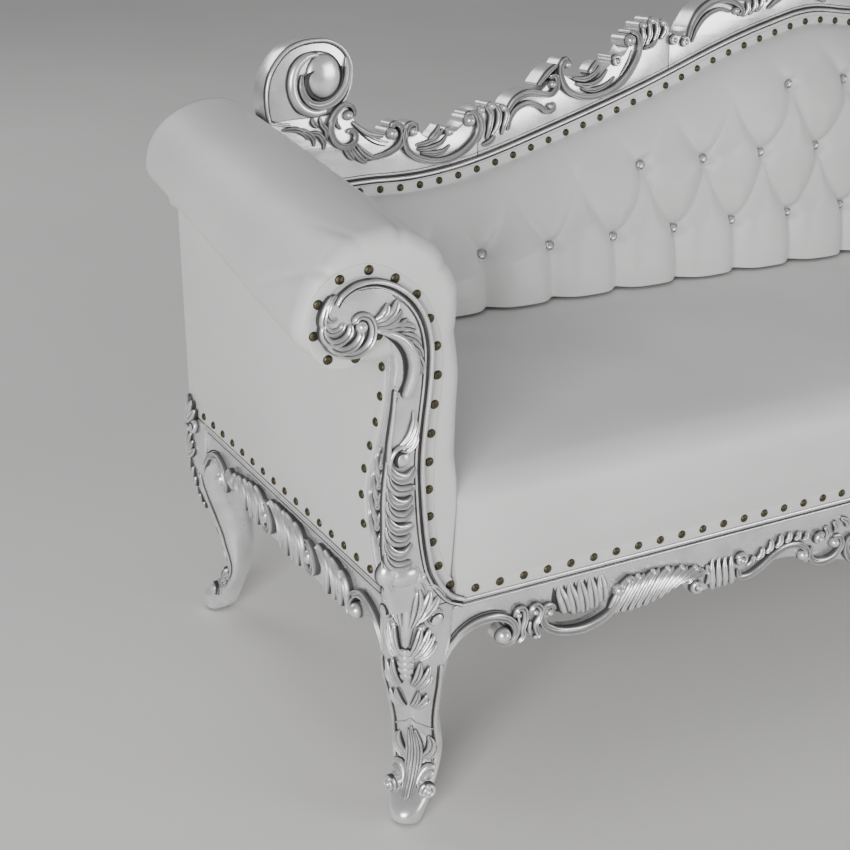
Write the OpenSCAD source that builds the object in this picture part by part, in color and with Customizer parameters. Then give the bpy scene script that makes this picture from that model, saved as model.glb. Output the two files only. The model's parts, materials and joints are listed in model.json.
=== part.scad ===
// Chaise longue: carved show-wood frame, rolled arms of two heights, tight seat, tufted back.
// Built with the foot-end corner at x = 0, the front plane at y = 0 and the floor at z = 0,
// then moved so that the middle of its footprint is the origin. Everything is in millimetres.

/* [Frame] */
// Length between the outer faces of the two side rails
frame_l = 1460; // [1400:10:1600]
// Depth from the front face to the back face of the seat frame
frame_d = 622; // [600:2:660]
// Height of the top of the seat rails
rail_top = 312; // [300:1:330]
// Thickness of the seat rails
rail_t = 28; // [24:1:32]
// Height of the plain upper part of the seat rails
rail_h = 62; // [56:1:66]
// Side of the square block at the top of each leg
leg_block = 60; // [54:1:64]
// Height of the leg block
block_h = 88; // [84:1:92]

/* [Legs and feet] */
// Radius of the floor glides
glide_r = 9; // [7:0.5:11]
// Height of the floor glides
glide_h = 4; // [2:0.5:6]
// Radius of the hanger bolts in the legs
bolt_r = 4; // [3:0.5:5]
// Radius of the dowels
dowel_r = 4; // [3:0.5:5]

/* [Arms] */
// Height of the middle of the foot-end scroll above the floor
scroll_z = 660; // [650:5:690]
// How much taller the head-end arm is
head_rise = 190; // [150:5:230]
// Thickness of an arm wall at the front
arm_wall = 55; // [50:1:64]
// Radius of the arm roll at the front
roll_r = 97; // [92:1:101]
// How far the middle of the roll lies outside the side plane at the front
roll_out = 45; // [40:1:50]
// How far the carved posts stand in front of the front plane
post_proud = 12; // [8:1:16]
// How far the scroll heads stand in front of the front plane
head_proud = 22; // [18:1:26]

/* [Seat and back] */
// Height of the crown of the seat
seat_h = 466; // [450:1:480]
// How far the front of the seat swells past the front plane
seat_bulge = 14; // [8:1:18]
// Lean of the back from upright, in degrees
rake = 6; // [3:0.5:9]
// Thickness of the back frame and the crest
back_t = 40; // [34:1:46]
// Thickness of the back cushion at its lower row of tufts
tuft_puff = 90; // [80:1:96]
// Depth of the tufts
tuft_depth = 28; // [15:1:34]
// Distance between tufts along a row
tuft_pitch = 117; // [110:1:124]
// Distance between rows of tufts
tuft_rise = 102; // [96:1:110]

/* [Trim] */
// Distance between nail heads
nail_pitch = 33; // [28:1:40]
// Radius of a nail head
nail_r = 5.5; // [4.5:0.1:6.5]
// Height of a nail head
nail_h = 3.4; // [2.4:0.1:4.4]
// Width of the flat trim band
trim_w = 14; // [12:0.5:16]
// Thickness of the flat trim band
trim_t = 1.2; // [0.8:0.1:1.8]
// Radius of a tuft button
button_r = 8; // [6:0.5:9]
// Thickness of a single layer of cover
cover_t = 1.5; // [1:0.1:2.5]

/* [Hidden] */
gap = 0.3;
silver = [0.78, 0.78, 0.80];
leather = [0.93, 0.93, 0.92];
beech = [0.76, 0.62, 0.44];
steel = [0.6, 0.6, 0.62];
bronze = [0.36, 0.33, 0.20];
jute = [0.55, 0.47, 0.34];
$fn = 48;

// The scroll head and the carved shaft of a post, in the front view
scroll_x = -65;
crease_z = 618;
shaft_low = 380;
shaft_high = 590;
// The crest, measured up the raked back from the top of the seat rail
volute_x = 200;
volute_v = 453;
volute_r = 54;
crest_end = 62;
crest_foot_v = 303;
rows = 3;
crest_skin = 6;
crown_x = 1062;
crown_v = 626;

// The long curves were drawn at these lengths, and their middle parts stretch to others
drawn_l = 1460;
drawn_d = 622;
end_part = 275;
arch_part = 150;

// The footprint runs from the scroll heads to the top of the head-end volute
top_v = volute_v + head_rise + volute_r;
back_y = frame_d + top_v * sin(rake);
mid_x = frame_l / 2;
mid_y = (back_y - head_proud) / 2;

function lerp(a, b, t) = a + (b - a) * t;
function spline_at(a, b, c, d, t) =
    0.5 * (2 * b + (c - a) * t + (2 * a - 5 * b + 4 * c - d) * t * t
    + (3 * b - a - 3 * c + d) * t * t * t);
// A smooth line through the points, with n short pieces between each two
function smooth_line(p, n) = concat(
    [for (i = [0:len(p) - 2], k = [0:n - 1])
        spline_at(p[max(i - 1, 0)], p[i], p[i + 1], p[min(i + 2, len(p) - 1)], k / n)],
    [p[len(p) - 1]]);
function line_length(p, i = 0) = i >= len(p) - 1 ? 0
    : norm(p[i + 1] - p[i]) + line_length(p, i + 1);
// The point at distance s along a line of points
function walk(p, s, i = 0) = i >= len(p) - 2 || s <= norm(p[i + 1] - p[i])
    ? lerp(p[i], p[i + 1], s / norm(p[i + 1] - p[i]))
    : walk(p, s - norm(p[i + 1] - p[i]), i + 1);
function spaced(p, pitch) =
    let (total = line_length(p), n = round(total / pitch))
    [for (i = [0:n]) walk(p, min(total * i / n, total - 0.001))];
function side_of(p, i) =
    let (a = p[max(i - 1, 0)], b = p[min(i + 1, len(p) - 1)], d = (b - a) / norm(b - a))
    [-d[1], d[0]];
// The outline of a band of width w that follows a line
function band(p, w) = concat(
    [for (i = [0:len(p) - 1]) p[i] + side_of(p, i) * w / 2],
    [for (i = [len(p) - 1:-1:0]) p[i] - side_of(p, i) * w / 2]);

module head_side() { translate([frame_l, 0, 0]) mirror([1, 0, 0]) children(); }
module rear_side() { translate([0, frame_d, 0]) mirror([0, 1, 0]) children(); }
module four_corners() {
    children();
    head_side() children();
    rear_side() children();
    rear_side() head_side() children();
}
// Local x runs along the object, local y up the back and local z towards the front
module on_back(depth = 0) {
    translate([0, frame_d, rail_top]) rotate([90 - rake, 0, 0])
        translate([0, 0, depth]) children();
}
module front_view(y) { translate([0, y, 0]) rotate([90, 0, 0]) children(); }

// Legs: the side profile and the front profile of a cabriole, crossed
leg_outer = [[2, rail_top], [5, 285], [3, 255], [-4, 225], [-14, 195], [-28, 160],
    [-44, 125], [-58, 100], [-64, 82], [-60, 64], [-45, 46], [-28, 33], [-14, 22],
    [-13, 12], [-22, glide_h]];
leg_inner = [[-52, glide_h], [-66, 14], [-74, 35], [-83, 62], [-90, 90], [-93, 125],
    [-90, 158], [-82, 183], [-74, 205], [-80, rail_top - block_h]];
leg_half = [[18, glide_h], [23, 25], [27, 55], [30, 85], [27, 110], [25, 135], [27, 160],
    [32, 190], [38, 225], [42, 260], [42, rail_top]];
glide_q = -38;
knee = 10;
bolt_z = rail_top - 30;

module leg_sweep() {
    half = smooth_line(leg_half, 4);
    rotate([0, 0, 225]) intersection() {
        rotate([90, 0, 0]) linear_extrude(height = 120, center = true)
            polygon(concat(smooth_line(leg_outer, 4), smooth_line(leg_inner, 4),
                [[-80, rail_top]]));
        translate([-120, 0, 0]) rotate([90, 0, 90]) linear_extrude(height = 160)
            polygon(concat(half, [for (i = [len(half) - 1:-1:0]) [-half[i][0], half[i][1]]]));
    }
}
// Volutes at the sides of the foot
module foot_volutes() {
    rotate([0, 0, 225]) for (s = [-1, 1]) translate([-37, s * 23, 50])
        rotate([90, 0, 0]) cylinder(h = 12, r = 12, center = true);
}
module leg_blank() {
    difference() {
        union() {
            intersection() {
                leg_sweep();
                translate([-knee, -knee, 0])
                    cube([leg_block + knee, leg_block + knee, rail_top]);
            }
            translate([0, 0, rail_top - block_h]) cube([leg_block, leg_block, block_h]);
            foot_volutes();
        }
        bolt_at(20, 70, bolt_r);
        dowel_pair(dowel_r);
        rear_dowel_pair(dowel_r);
    }
}
module bolt_at(from, to, r) {
    rotate([0, 0, 45]) translate([from, 0, bolt_z]) rotate([0, 90, 0])
        cylinder(h = to - from + 30, r = r);
}
module dowel_pair(r) {
    for (z = [rail_top - 14, rail_top - 46]) translate([leg_block - 20, rail_t / 2, z])
        rotate([0, 90, 0]) cylinder(h = 40, r = r);
}
module rear_dowel_pair(r) {
    for (z = [rail_top - 24, rail_top - 54]) translate([rail_t / 2, leg_block - 20, z])
        rotate([-90, 0, 0]) cylinder(h = 40, r = r);
}
module front_left_leg() { color(silver) leg_blank(); }
module front_right_leg() { color(silver) head_side() leg_blank(); }
module rear_left_leg() { color(silver) rear_side() leg_blank(); }
module rear_right_leg() { color(silver) rear_side() head_side() leg_blank(); }
module floor_glides() {
    color(steel) four_corners() rotate([0, 0, 225]) translate([glide_q, 0, 0])
        cylinder(h = glide_h, r = glide_r);
}
module leg_bolts() { color(steel) four_corners() bolt_at(20, 85, bolt_r); }
module leg_nuts() {
    color(steel) four_corners() rotate([0, 0, 45]) translate([104, 0, bolt_z])
        rotate([0, 90, 0]) difference() {
            cylinder(h = 6, r = bolt_r + 4, $fn = 6);
            translate([0, 0, -1]) cylinder(h = 8, r = bolt_r);
        }
}
module rail_dowels() {
    color(beech) four_corners() {
        dowel_pair(dowel_r);
        rear_dowel_pair(dowel_r);
    }
}

// Lower edge of the front rail from the foot-end leg to the middle, then mirrored
arch_in = leg_block;
bead_r = 3.5;
half_front = [[arch_in, 238], [70, 258], [85, 271], [102, 277], [120, 273], [135, 262],
    [145, 250], [152, 243], [172, 246], [188, 243], [205, 234], [240, 229], [275, 232],
    [300, 234], [330, 237], [360, 244], [385, 249], [402, 247], [420, 232], [455, 228],
    [490, 231], [525, 240], [560, 244], [600, 238], [640, 226], [690, 210], [drawn_l / 2, 203]];
// Lower edge of a side rail, from the front leg to the rear leg
side_mid = frame_d / 2;
function reach(p, mid, drawn) = [for (q = p) [q[0] < arch_part ? q[0]
    : lerp(arch_part, mid, (q[0] - arch_part) / (drawn - arch_part)), q[1]]];
half_side = [[arch_in, 236], [72, 258], [90, 272], [110, 278], [128, 272], [142, 256],
    [160, 250], [185, 252], [205, 243], [230, 238], [255, 238], [280, 242], [drawn_d / 2, 238]];
function whole(half, mid) = concat(half,
    [for (i = [len(half) - 2:-1:0]) [2 * mid - half[i][0], half[i][1]]]);

module rail_board(half, mid) {
    edge = smooth_line(whole(half, mid), 3);
    front_view(rail_t) linear_extrude(height = rail_t)
        polygon(concat([[arch_in, rail_top]], edge, [[2 * mid - arch_in, rail_top]]));
}
// Half-round bead under the nails, and the plain band's lower step
module rail_bead(span) {
    translate([arch_in, 0, rail_top - bead_r]) rotate([0, 90, 0]) cylinder(h = span, r = bead_r);
}
// A carved scroll: a ball held in a ring
module carved_ball(x, z, r, proud = 12) {
    front_view(0) translate([x, z, 0]) {
        cylinder(h = proud * 0.6, r = r);
        sphere(r = min(proud, r * 0.75));
    }
}
// An oval ring of scrolls below a gadroon fan
module carved_ring(x, z, w, h) {
    front_view(0) translate([x, z, 0]) {
        for (s = [-1, 1]) translate([s * w * 0.36, h * 0.12, 0]) cylinder(h = 9, r = w * 0.17);
        for (i = [-2:2]) translate([i * w * 0.12, h * 0.2, 0]) rotate([-90, 0, 0])
            cylinder(h = h * 0.55, r = w * 0.055);
    }
}
module ring_hole(x, z, w) {
    front_view(rail_t + 1) translate([x, z, 0]) intersection() {
        linear_extrude(height = rail_t + 2) polygon([for (a = [0:15:345])
            [w * 0.5 * cos(a), 10 * sin(a) - 6 - 5 * cos(2 * a)]]);
        translate([-w, -20, 0]) cube([2 * w, 24, rail_t + 2]);
    }
}
module front_carving() {
    carved_ball(130, 249, 13);
    carved_ball(288, 262, 12);
    carved_ring(240, 262, 98, 46);
}
module front_rail() {
    color(silver) difference() {
        union() {
            rail_board(reach(half_front, mid_x, drawn_l / 2), mid_x);
            rail_bead(frame_l - 2 * leg_block);
            front_carving();
            head_side() front_carving();
            carved_ring(mid_x, 254, 190, 66);
            carved_ball(mid_x, 222, 16);
        }
        ring_hole(240, 252, 74);
        head_side() ring_hole(240, 252, 74);
        dowel_pair(dowel_r);
        head_side() dowel_pair(dowel_r);
    }
}
module side_turn() { mirror([1, -1, 0]) children(); }
module side_rail_blank() {
    difference() {
        side_turn() union() {
            rail_board(reach(half_side, side_mid, drawn_d / 2), side_mid);
            rail_bead(frame_d - 2 * leg_block);
            carved_ball(136, 256, 11);
            carved_ball(frame_d - 136, 256, 11);
            carved_ring(side_mid, 264, 90, 44);
        }
        rear_dowel_pair(dowel_r);
        rear_side() rear_dowel_pair(dowel_r);
    }
}
module left_side_rail() { color(silver) side_rail_blank(); }
module right_side_rail() { color(silver) head_side() side_rail_blank(); }
module back_rail() {
    color(silver) difference() {
        translate([leg_block, frame_d - rail_t, rail_top - rail_h])
            cube([frame_l - 2 * leg_block, rail_t, rail_h]);
        rear_side() {
            dowel_pair(dowel_r);
            head_side() dowel_pair(dowel_r);
        }
    }
}

// Inner seat structure
block_reach = leg_block + 46;
web_z = rail_top - 7;
batten = 18;
module corner_blocks() {
    color(beech) four_corners() difference() {
        translate([0, 0, bolt_z - 20]) linear_extrude(height = 40 - batten)
            polygon([[leg_block, rail_t], [block_reach, rail_t], [rail_t, block_reach],
                [rail_t, leg_block], [leg_block, leg_block]]);
        bolt_at(20, 85, bolt_r);
    }
}
bar_w = 40;
bar_h = 26;
module seat_cross_bars() {
    color(beech) for (k = [1:2]) translate([frame_l * k / 3 - bar_w / 2, rail_t,
        web_z - batten - bar_h]) cube([bar_w, frame_d - 2 * rail_t, bar_h]);
}
module webbing_battens() {
    color(beech) {
        for (y = [rail_t, frame_d - rail_t - batten])
            translate([leg_block, y, web_z - batten])
                cube([frame_l - 2 * leg_block, batten, batten]);
        for (x = [rail_t, frame_l - rail_t - batten])
            translate([x, leg_block, web_z - batten])
                cube([batten, frame_d - 2 * leg_block, batten]);
    }
}
strap_w = 50;
strap_t = 1.5;
long_n = 6;
cross_n = 14;
module webbing_long() {
    pitch = (frame_d - 2 * leg_block - strap_w) / (long_n - 1);
    color(jute) for (i = [0:long_n - 1])
        translate([rail_t, leg_block + i * pitch, web_z])
            cube([frame_l - 2 * rail_t, strap_w, strap_t]);
}
module webbing_cross() {
    pitch = (frame_l - 2 * leg_block - strap_w) / (cross_n - 1);
    color(jute) for (i = [0:cross_n - 1])
        translate([leg_block + i * pitch, rail_t, web_z + strap_t])
            cube([strap_w, frame_d - 2 * rail_t, strap_t]);
}
module dust_cover() {
    low = web_z - batten - bar_h - 1;
    color([0.12, 0.12, 0.12]) translate([0, 0, low]) linear_extrude(height = 1)
        polygon([[block_reach, rail_t], [frame_l - block_reach, rail_t],
            [frame_l - rail_t, block_reach], [frame_l - rail_t, frame_d - block_reach],
            [frame_l - block_reach, frame_d - rail_t], [block_reach, frame_d - rail_t],
            [rail_t, frame_d - block_reach], [rail_t, block_reach]]);
}

// Arm posts: heights above the foot of the shaft rise with the arm
function lift(z, rise) = z <= shaft_low ? z : z >= shaft_high ? z + rise
    : z + rise * (z - shaft_low) / (shaft_high - shaft_low);
function lifted(p, rise) = [for (q = p) [q[0], lift(q[1], rise)]];
// Shaft levels: height, inner edge, outer edge and depth behind the front plane
post_levels = [[rail_top, arm_wall + 3, -22, 62], [327, 43, -28, 70], [346, 30, -34, 78],
    [375, 20, -40, 89], [402, 14, -38, 95], [430, 11, -40, 95], [465, 8, -41, 84],
    [503, 7, -39, 71], [541, 9, -35, 61], [580, 12, -30, 59], [crease_z - 6, 12, -29, 59]];
function post_edge(k, rise) = lifted([for (q = post_levels) [q[k], q[0]]], rise);
// The carved face stands in front of the front plane, and the core runs back beside the pad
core_x1 = 12;
module post_core(rise) {
    n = len(post_levels);
    levels = [for (q = post_levels) let (z = lift(q[0], rise))
        [[core_x1, 0, z], [q[2], 0, z], [-2, q[3], z], [core_x1, q[3], z]]];
    polyhedron(points = [for (q = levels) each q],
        faces = concat([[3, 2, 1, 0]], [[for (k = [0:3]) 4 * (n - 1) + k]],
            [for (i = [0:n - 2], k = [0:3]) each let (a = 4 * i + k, b = 4 * i + (k + 1) % 4)
                [[a, b, a + 4], [b, b + 4, a + 4]]]));
}
module post_face(rise) {
    left = post_edge(2, rise);
    front_view(0) linear_extrude(height = post_proud) polygon(concat(post_edge(1, rise),
        [for (i = [len(left) - 1:-1:0]) left[i]]));
}
// Outline of the scroll head
function head_line(rise) = smooth_line(lifted([[12, 604], [10, 622], [5, 648], [-8, 672],
    [-28, 691], [-52, 704], [-76, 708], [-98, 701], [-112, 686], [-117, 668], [-113, 651],
    [-99, 642], [-80, 639], [-66, 645], [-60, 656], [-50, 660], [-40, 652], [-33, 634],
    [-29, 604]], rise), 3);
module scroll_head(rise) {
    z0 = lift(scroll_z, rise);
    front_view(0) linear_extrude(height = post_proud) polygon(head_line(rise));
    front_view(0) translate([scroll_x - 19, z0 + 12, 0]) {
        rotate_extrude() translate([20, post_proud]) circle(r = 5);
        cylinder(h = head_proud, r = 13);
    }
    front_view(-post_proud + 1) translate([scroll_x + 30, z0 + 14, 0]) rotate([0, 0, -35])
        linear_extrude(height = 7) polygon(smooth_line([[-22, 0], [0, 13], [24, 8], [40, 0],
            [24, -10], [0, -9], [-22, 0]], 3));
}
// The row of leaves down the front of the shaft
module leaf_chain(rise) {
    n = round((130 + rise) / 26);
    for (i = [0:n - 1]) let (z = lerp(lift(508, rise), 372, i / (n - 1)))
        front_view(-post_proud + 1) translate([-19, z, 0]) rotate([0, 0, -18])
            linear_extrude(height = 6) polygon([for (a = [0:30:330])
                [17 * cos(a), 11 * sin(a)]]);
    front_view(-post_proud + 1) translate([-22, lift(508, rise), 0])
        cylinder(h = 9, r = 12);
}
module post_blank(rise) {
    post_core(rise);
    post_face(rise);
    scroll_head(rise);
    leaf_chain(rise);
}
module left_arm_post() { color(silver) post_blank(0); }
module right_arm_post() { color(silver) head_side() post_blank(head_rise); }

// Arm pads: the section changes steadily from the front to the leaning back
arm_steps = 8;
roll_back_x = 60;
roll_back_r = 80;
function arm_section(t, rise) =
    let (cx = lerp(-roll_out, roll_back_x, t), cz = lerp(scroll_z, scroll_z + 4, t) + rise,
        al = lerp(roll_r, roll_back_r + 24, t), ar = lerp(roll_r, roll_back_r - 5, t),
        bt = lerp(roll_r, roll_back_r, t), bl = lerp(46, 50, t), crease = crease_z + rise,
        neck = lerp(arm_wall + 3, lerp(arm_wall, cx + ar, 0.35), t))
    concat([[arm_wall, rail_top], [arm_wall + 4, lerp(rail_top, crease, 0.4)],
            [arm_wall + 3, lerp(rail_top, crease, 0.75)], [neck, crease - 26]],
        [for (a = [-15:15:90]) [cx + ar * cos(a), cz + bt * sin(a)]],
        [for (a = [105:15:180]) [cx + al * cos(a), cz + bt * sin(a)]],
        [for (k = [1:4]) let (a = 180 + k * lerp(20, 11, t))
            [cx + al * cos(a), cz + bl * sin(a)]],
        [[lerp(-24, -6, t), crease - 2], [0, crease - 16],
            [0, lerp(rail_top, crease, 0.5)], [0, rail_top]]);
module arm_form(rise) {
    secs = [for (i = [0:arm_steps]) let (t = i / arm_steps) [for (q = arm_section(t, rise))
        [q[0], t * (frame_d + (q[1] - rail_top) * tan(rake)), q[1]]]];
    m = len(secs[0]);
    polyhedron(points = [for (s = secs) each s],
        faces = concat(
            [for (k = [0:m / 2 - 2]) each [[k + 1, k, m - 1 - k], [m - 2 - k, k + 1, m - 1 - k]]],
            [for (k = [0:m / 2 - 2]) each let (f = m * arm_steps)
                [[f + k, f + k + 1, f + m - 1 - k], [f + k + 1, f + m - 2 - k, f + m - 1 - k]]],
            [for (i = [0:arm_steps - 1], k = [0:m - 1]) each
                let (a = i * m + k, b = i * m + (k + 1) % m)
                [[a, b, a + m], [b, b + m, a + m]]]));
}
// Wooden parts inside an arm: two stumps, two rails and the core of the roll
stump_x = 16;
stump_t = 22;
stump_w = 40;
arm_front_y = 110;
arm_rear_y = frame_d - 50;
core_out = 26;
core_h = 56;
arm_rail_h = 34;
function arm_top(rise) = crease_z + rise - 6;
module arm_frame_blank(rise) {
    top = arm_top(rise);
    for (y = [arm_front_y, arm_rear_y - stump_w])
        translate([stump_x, y, rail_top]) cube([stump_t, stump_w, top - rail_top]);
    for (z = [rail_top, top - arm_rail_h])
        translate([stump_x, arm_front_y + stump_w, z])
            cube([stump_t, arm_rear_y - arm_front_y - 2 * stump_w, arm_rail_h]);
    arm_core(rise);
}
module arm_core(rise) {
    translate([stump_x - core_out, arm_front_y, arm_top(rise)])
        cube([stump_t + core_out, arm_rear_y - arm_front_y, core_h]);
}
// The hollow for the wooden parts, open at the seat rail
module arm_hollow(rise) {
    top = arm_top(rise);
    front_view(arm_rear_y) linear_extrude(height = arm_rear_y - arm_front_y)
        polygon([[stump_x, rail_top - 1], [stump_x + stump_t, rail_top - 1],
            [stump_x + stump_t, top + core_h], [stump_x - core_out, top + core_h],
            [stump_x - core_out, top], [stump_x, top]]);
}
// The notch round the core of the post
module post_notch(rise) {
    back = post_edge(3, rise);
    top = crease_z - 6 + rise + gap;
    translate([-60, 0, 0]) rotate([90, 0, 90]) linear_extrude(height = 60 + core_x1 + gap)
        polygon(concat([[-20, rail_top - 1], [back[0][0] + gap, rail_top - 1]],
            [for (q = back) [q[0] + gap, q[1]]], [[back[len(back) - 1][0] + gap, top],
            [-20, top]]));
}
// The room for the back frame and the end of the back cushion
module back_room(rise) {
    on_back(0) translate([crest_end - gap, 0, 0]) rotate([90, 0, 90])
        linear_extrude(height = 200) polygon([[-60, -20], [900, -20], [900, back_t + gap],
            [crest_foot_v + rise + 15, back_t + gap],
            [crest_foot_v + rise + 15, back_t + tuft_puff], [-60, back_t + tuft_puff]]);
}
module arm_pad_blank(rise) {
    difference() {
        arm_form(rise);
        post_notch(rise);
        arm_hollow(rise);
        back_room(rise);
    }
}
module left_arm_frame() { color(beech) arm_frame_blank(0); }
module right_arm_frame() { color(beech) head_side() arm_frame_blank(head_rise); }
module left_arm_pad() { color(leather) arm_pad_blank(0); }
module right_arm_pad() { color(leather) head_side() arm_pad_blank(head_rise); }
panel_low = rail_top + gap;
module outside_panel_blank(rise) {
    top = crease_z + rise - 18;
    edge = [for (q = post_edge(3, rise)) if (q[1] < top) [q[0] + gap, max(q[1], panel_low)]];
    on_side(0) linear_extrude(height = cover_t) polygon(concat(edge,
        [[edge[len(edge) - 1][0], top], [frame_d + (top - rail_top) * tan(rake), top],
            [frame_d, panel_low]]));
}
module left_outside_panel() { color(leather) outside_panel_blank(0); }
module right_outside_panel() { color(leather) head_side() outside_panel_blank(head_rise); }

// Back frame and crest, drawn flat and leaned back
function along(x) = x < end_part ? x : x > drawn_l - end_part ? frame_l - drawn_l + x
    : lerp(end_part, frame_l - end_part, (x - end_part) / (drawn_l - 2 * end_part));
function fitted(p) = [for (q = p) [along(q[0]), q[1]]];
crest_line = smooth_line(fitted([[crest_end, crest_foot_v - 4], [volute_x, crest_foot_v - 2],
    [275, crest_foot_v], [350, crest_foot_v], [450, 317], [600, 357], [750, 402], [900, 454],
    [1000, 483], [1090, crest_foot_v + head_rise + 8],
    [drawn_l - end_part, crest_foot_v + head_rise],
    [drawn_l - volute_x, crest_foot_v + head_rise - 2],
    [drawn_l - crest_end, crest_foot_v + head_rise - 4]]), 6);
function crest_v(x) = lookup(x, crest_line);
crest_top = fitted([[crest_end, 352], [90, 384], [120, 402], [170, 440], [225, 430], [258, 390],
    [284, 373], [304, 382], [320, 378], [334, 366], [350, 378], [372, 362], [398, 368],
    [420, 370], [440, 388], [458, 402], [482, 396], [508, 393], [535, 407], [565, 415],
    [588, 434], [606, 446], [622, 428], [650, 420], [680, 440], [702, 456], [720, 462],
    [740, 490], [762, 506], [786, 506], [806, 490], [832, 484], [850, 510], [876, 528],
    [906, 536], [936, 528], [958, 520], [980, 544], [1002, 566], [1022, 590], [1038, 614],
    [crown_x, crown_v], [crown_x + 24, crown_v - 12], [crown_x + 38, crown_v - 36],
    [crown_x + 56, crown_v - 54], [crown_x + 80, crown_v - 64],
    [drawn_l - 290, crest_foot_v + head_rise + 81], [drawn_l - 262, crest_foot_v + head_rise + 89],
    [drawn_l - 225, volute_v + head_rise - 24], [drawn_l - 170, volute_v + head_rise - 12],
    [drawn_l - 120, crest_foot_v + head_rise + 96], [drawn_l - 90, crest_foot_v + head_rise + 81],
    [drawn_l - crest_end, crest_foot_v + head_rise + 49]]);
split = [along(456), along(806)];
// The bead along the foot of the crest
bead_w = 8;
bead_h = 5;
bead_end = 100;
function between(p, a, b) = [for (q = p) if (q[0] > a && q[0] < b) q];
module crest_piece(a, b) {
    top = smooth_line(crest_top, 3);
    on_back(0) difference() {
        linear_extrude(height = back_t) polygon(concat(
            [[a, crest_v(a)]], between(crest_line, a, b), [[b, crest_v(b)], [b, lookup(b, top)]],
            [for (q = [for (i = [len(top) - 1:-1:0]) top[i]]) if (q[0] > a && q[0] < b) q],
            [[a, lookup(a, top)]]));
        crest_dowel_set(dowel_r);
        volute_seat(volute_x, volute_v, 1);
        volute_seat(frame_l - volute_x, volute_v + head_rise, -1);
    }
    on_back(back_t - 1) linear_extrude(height = bead_h + 1)
        polygon(band([for (q = between(crest_line, max(a, bead_end), min(b, frame_l - bead_end)))
            [q[0], q[1] + 5]], bead_w));
}
// Outline of the foot-end volute about its eye
volute_edge = smooth_line([[-79, -56], [-83, -36], [-82, -8], [-73, 17], [-52, 41], [-28, 52],
    [0, volute_r], [20, 51], [38, 38], [50, 20], [51, -2], [46, -22], [32, -40], [8, -50],
    [-20, -58], [-52, -62], [-79, -56]], 3);
module volute_shape() { polygon([for (i = [0:len(volute_edge) - 2]) volute_edge[i]]); }
module volute_seat(x, v, hand) {
    translate([x, v, -1]) scale_x(hand) linear_extrude(height = back_t + 2) volute_shape();
}
// Where the crest meets the posts and uprights
dowel_l = 50;
upright_x = [for (k = [1:3]) lerp(crest_end + back_t, frame_l - crest_end - back_t, k / 4)];
dowel_x = concat([crest_end + back_t / 2], upright_x, [frame_l - crest_end - back_t / 2]);
module crest_dowel_set(r) {
    for (x = dowel_x) translate([x, crest_v(x) - dowel_l / 2, back_t / 2]) rotate([-90, 0, 0])
        cylinder(h = dowel_l, r = r);
}
module crest_dowels() { color(beech) on_back(0) crest_dowel_set(dowel_r); }
module crest_rail_foot() { color(silver) crest_piece(crest_end, split[0]); }
module crest_rail_middle() { color(silver) crest_piece(split[0], split[1]); }
module crest_rail_head() { color(silver) crest_piece(split[1], frame_l - crest_end); }
// A large volute: rim, hollow and raised eye joined by a spiral
module volute_blank(x, v, hand) {
    on_back(0) translate([x, v, 0]) scale_x(hand) {
        difference() {
            linear_extrude(height = back_t) volute_shape();
            translate([0, 0, back_t - 6]) linear_extrude(height = 7) scale([0.86, 0.86])
                volute_shape();
        }
        linear_extrude(height = back_t + 3) intersection() {
            volute_shape();
            polygon(band([for (a = [-150:10:330])
                let (r = lerp(volute_r - 7, 24, (a + 150) / 480)) [-r * cos(a), r * sin(a)]], 10));
        }
        translate([0, 0, back_t - 6]) cylinder(h = 12, r1 = 27, r2 = 16);
    }
}
module scale_x(hand) { mirror([hand < 0 ? 1 : 0, 0, 0]) children(); }
module crest_volute_foot() { color(silver) volute_blank(volute_x, volute_v, 1); }
module crest_volute_head() {
    color(silver) volute_blank(frame_l - volute_x, volute_v + head_rise, -1);
}
module back_stick(x, w) {
    on_back(0) difference() {
        linear_extrude(height = back_t) polygon(concat([[x + w, 0], [x, 0], [x, crest_v(x)]],
            between(crest_line, x, x + w), [[x + w, crest_v(x + w)]]));
        crest_dowel_set(dowel_r);
    }
}
module back_stick_cut(x, w) {
    intersection() {
        back_stick(x, w);
        translate([0, 0, rail_top]) cube([frame_l, 2 * frame_d, 2 * frame_d]);
    }
}
lower_v = 110;
lower_h = 50;
module left_back_post() { color(beech) back_stick_cut(crest_end, back_t); }
module right_back_post() { color(beech) back_stick_cut(frame_l - crest_end - back_t, back_t); }
module back_uprights() {
    color(beech) difference() {
        for (x = upright_x) back_stick_cut(x - back_t / 2, back_t);
        on_back(back_t / 2) translate([0, lower_v, 0]) cube([frame_l, lower_h, back_t]);
    }
}
module back_lower_rail() {
    color(beech) on_back(back_t / 2) translate([crest_end + back_t, lower_v, 0])
        cube([frame_l - 2 * crest_end - 2 * back_t, lower_h, back_t / 2]);
}
back_strap_n = 3;
back_strap_w = 36;
back_strap_gap = 6;
module back_webbing() {
    color(jute) on_back(back_t) for (i = [0:back_strap_n - 1])
        translate([crest_end + 2, lower_v + lower_h + 8 + i * (back_strap_w + back_strap_gap), 0])
            cube([frame_l - 2 * crest_end - 4, back_strap_w, strap_t]);
}
module outside_back_panel() {
    color(leather) on_back(-cover_t) difference() {
        linear_extrude(height = cover_t) polygon(concat([[crest_end, 1]],
            [for (q = crest_line) [q[0], q[1] + 20]], [[frame_l - crest_end, 1]]));
    }
}

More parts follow.
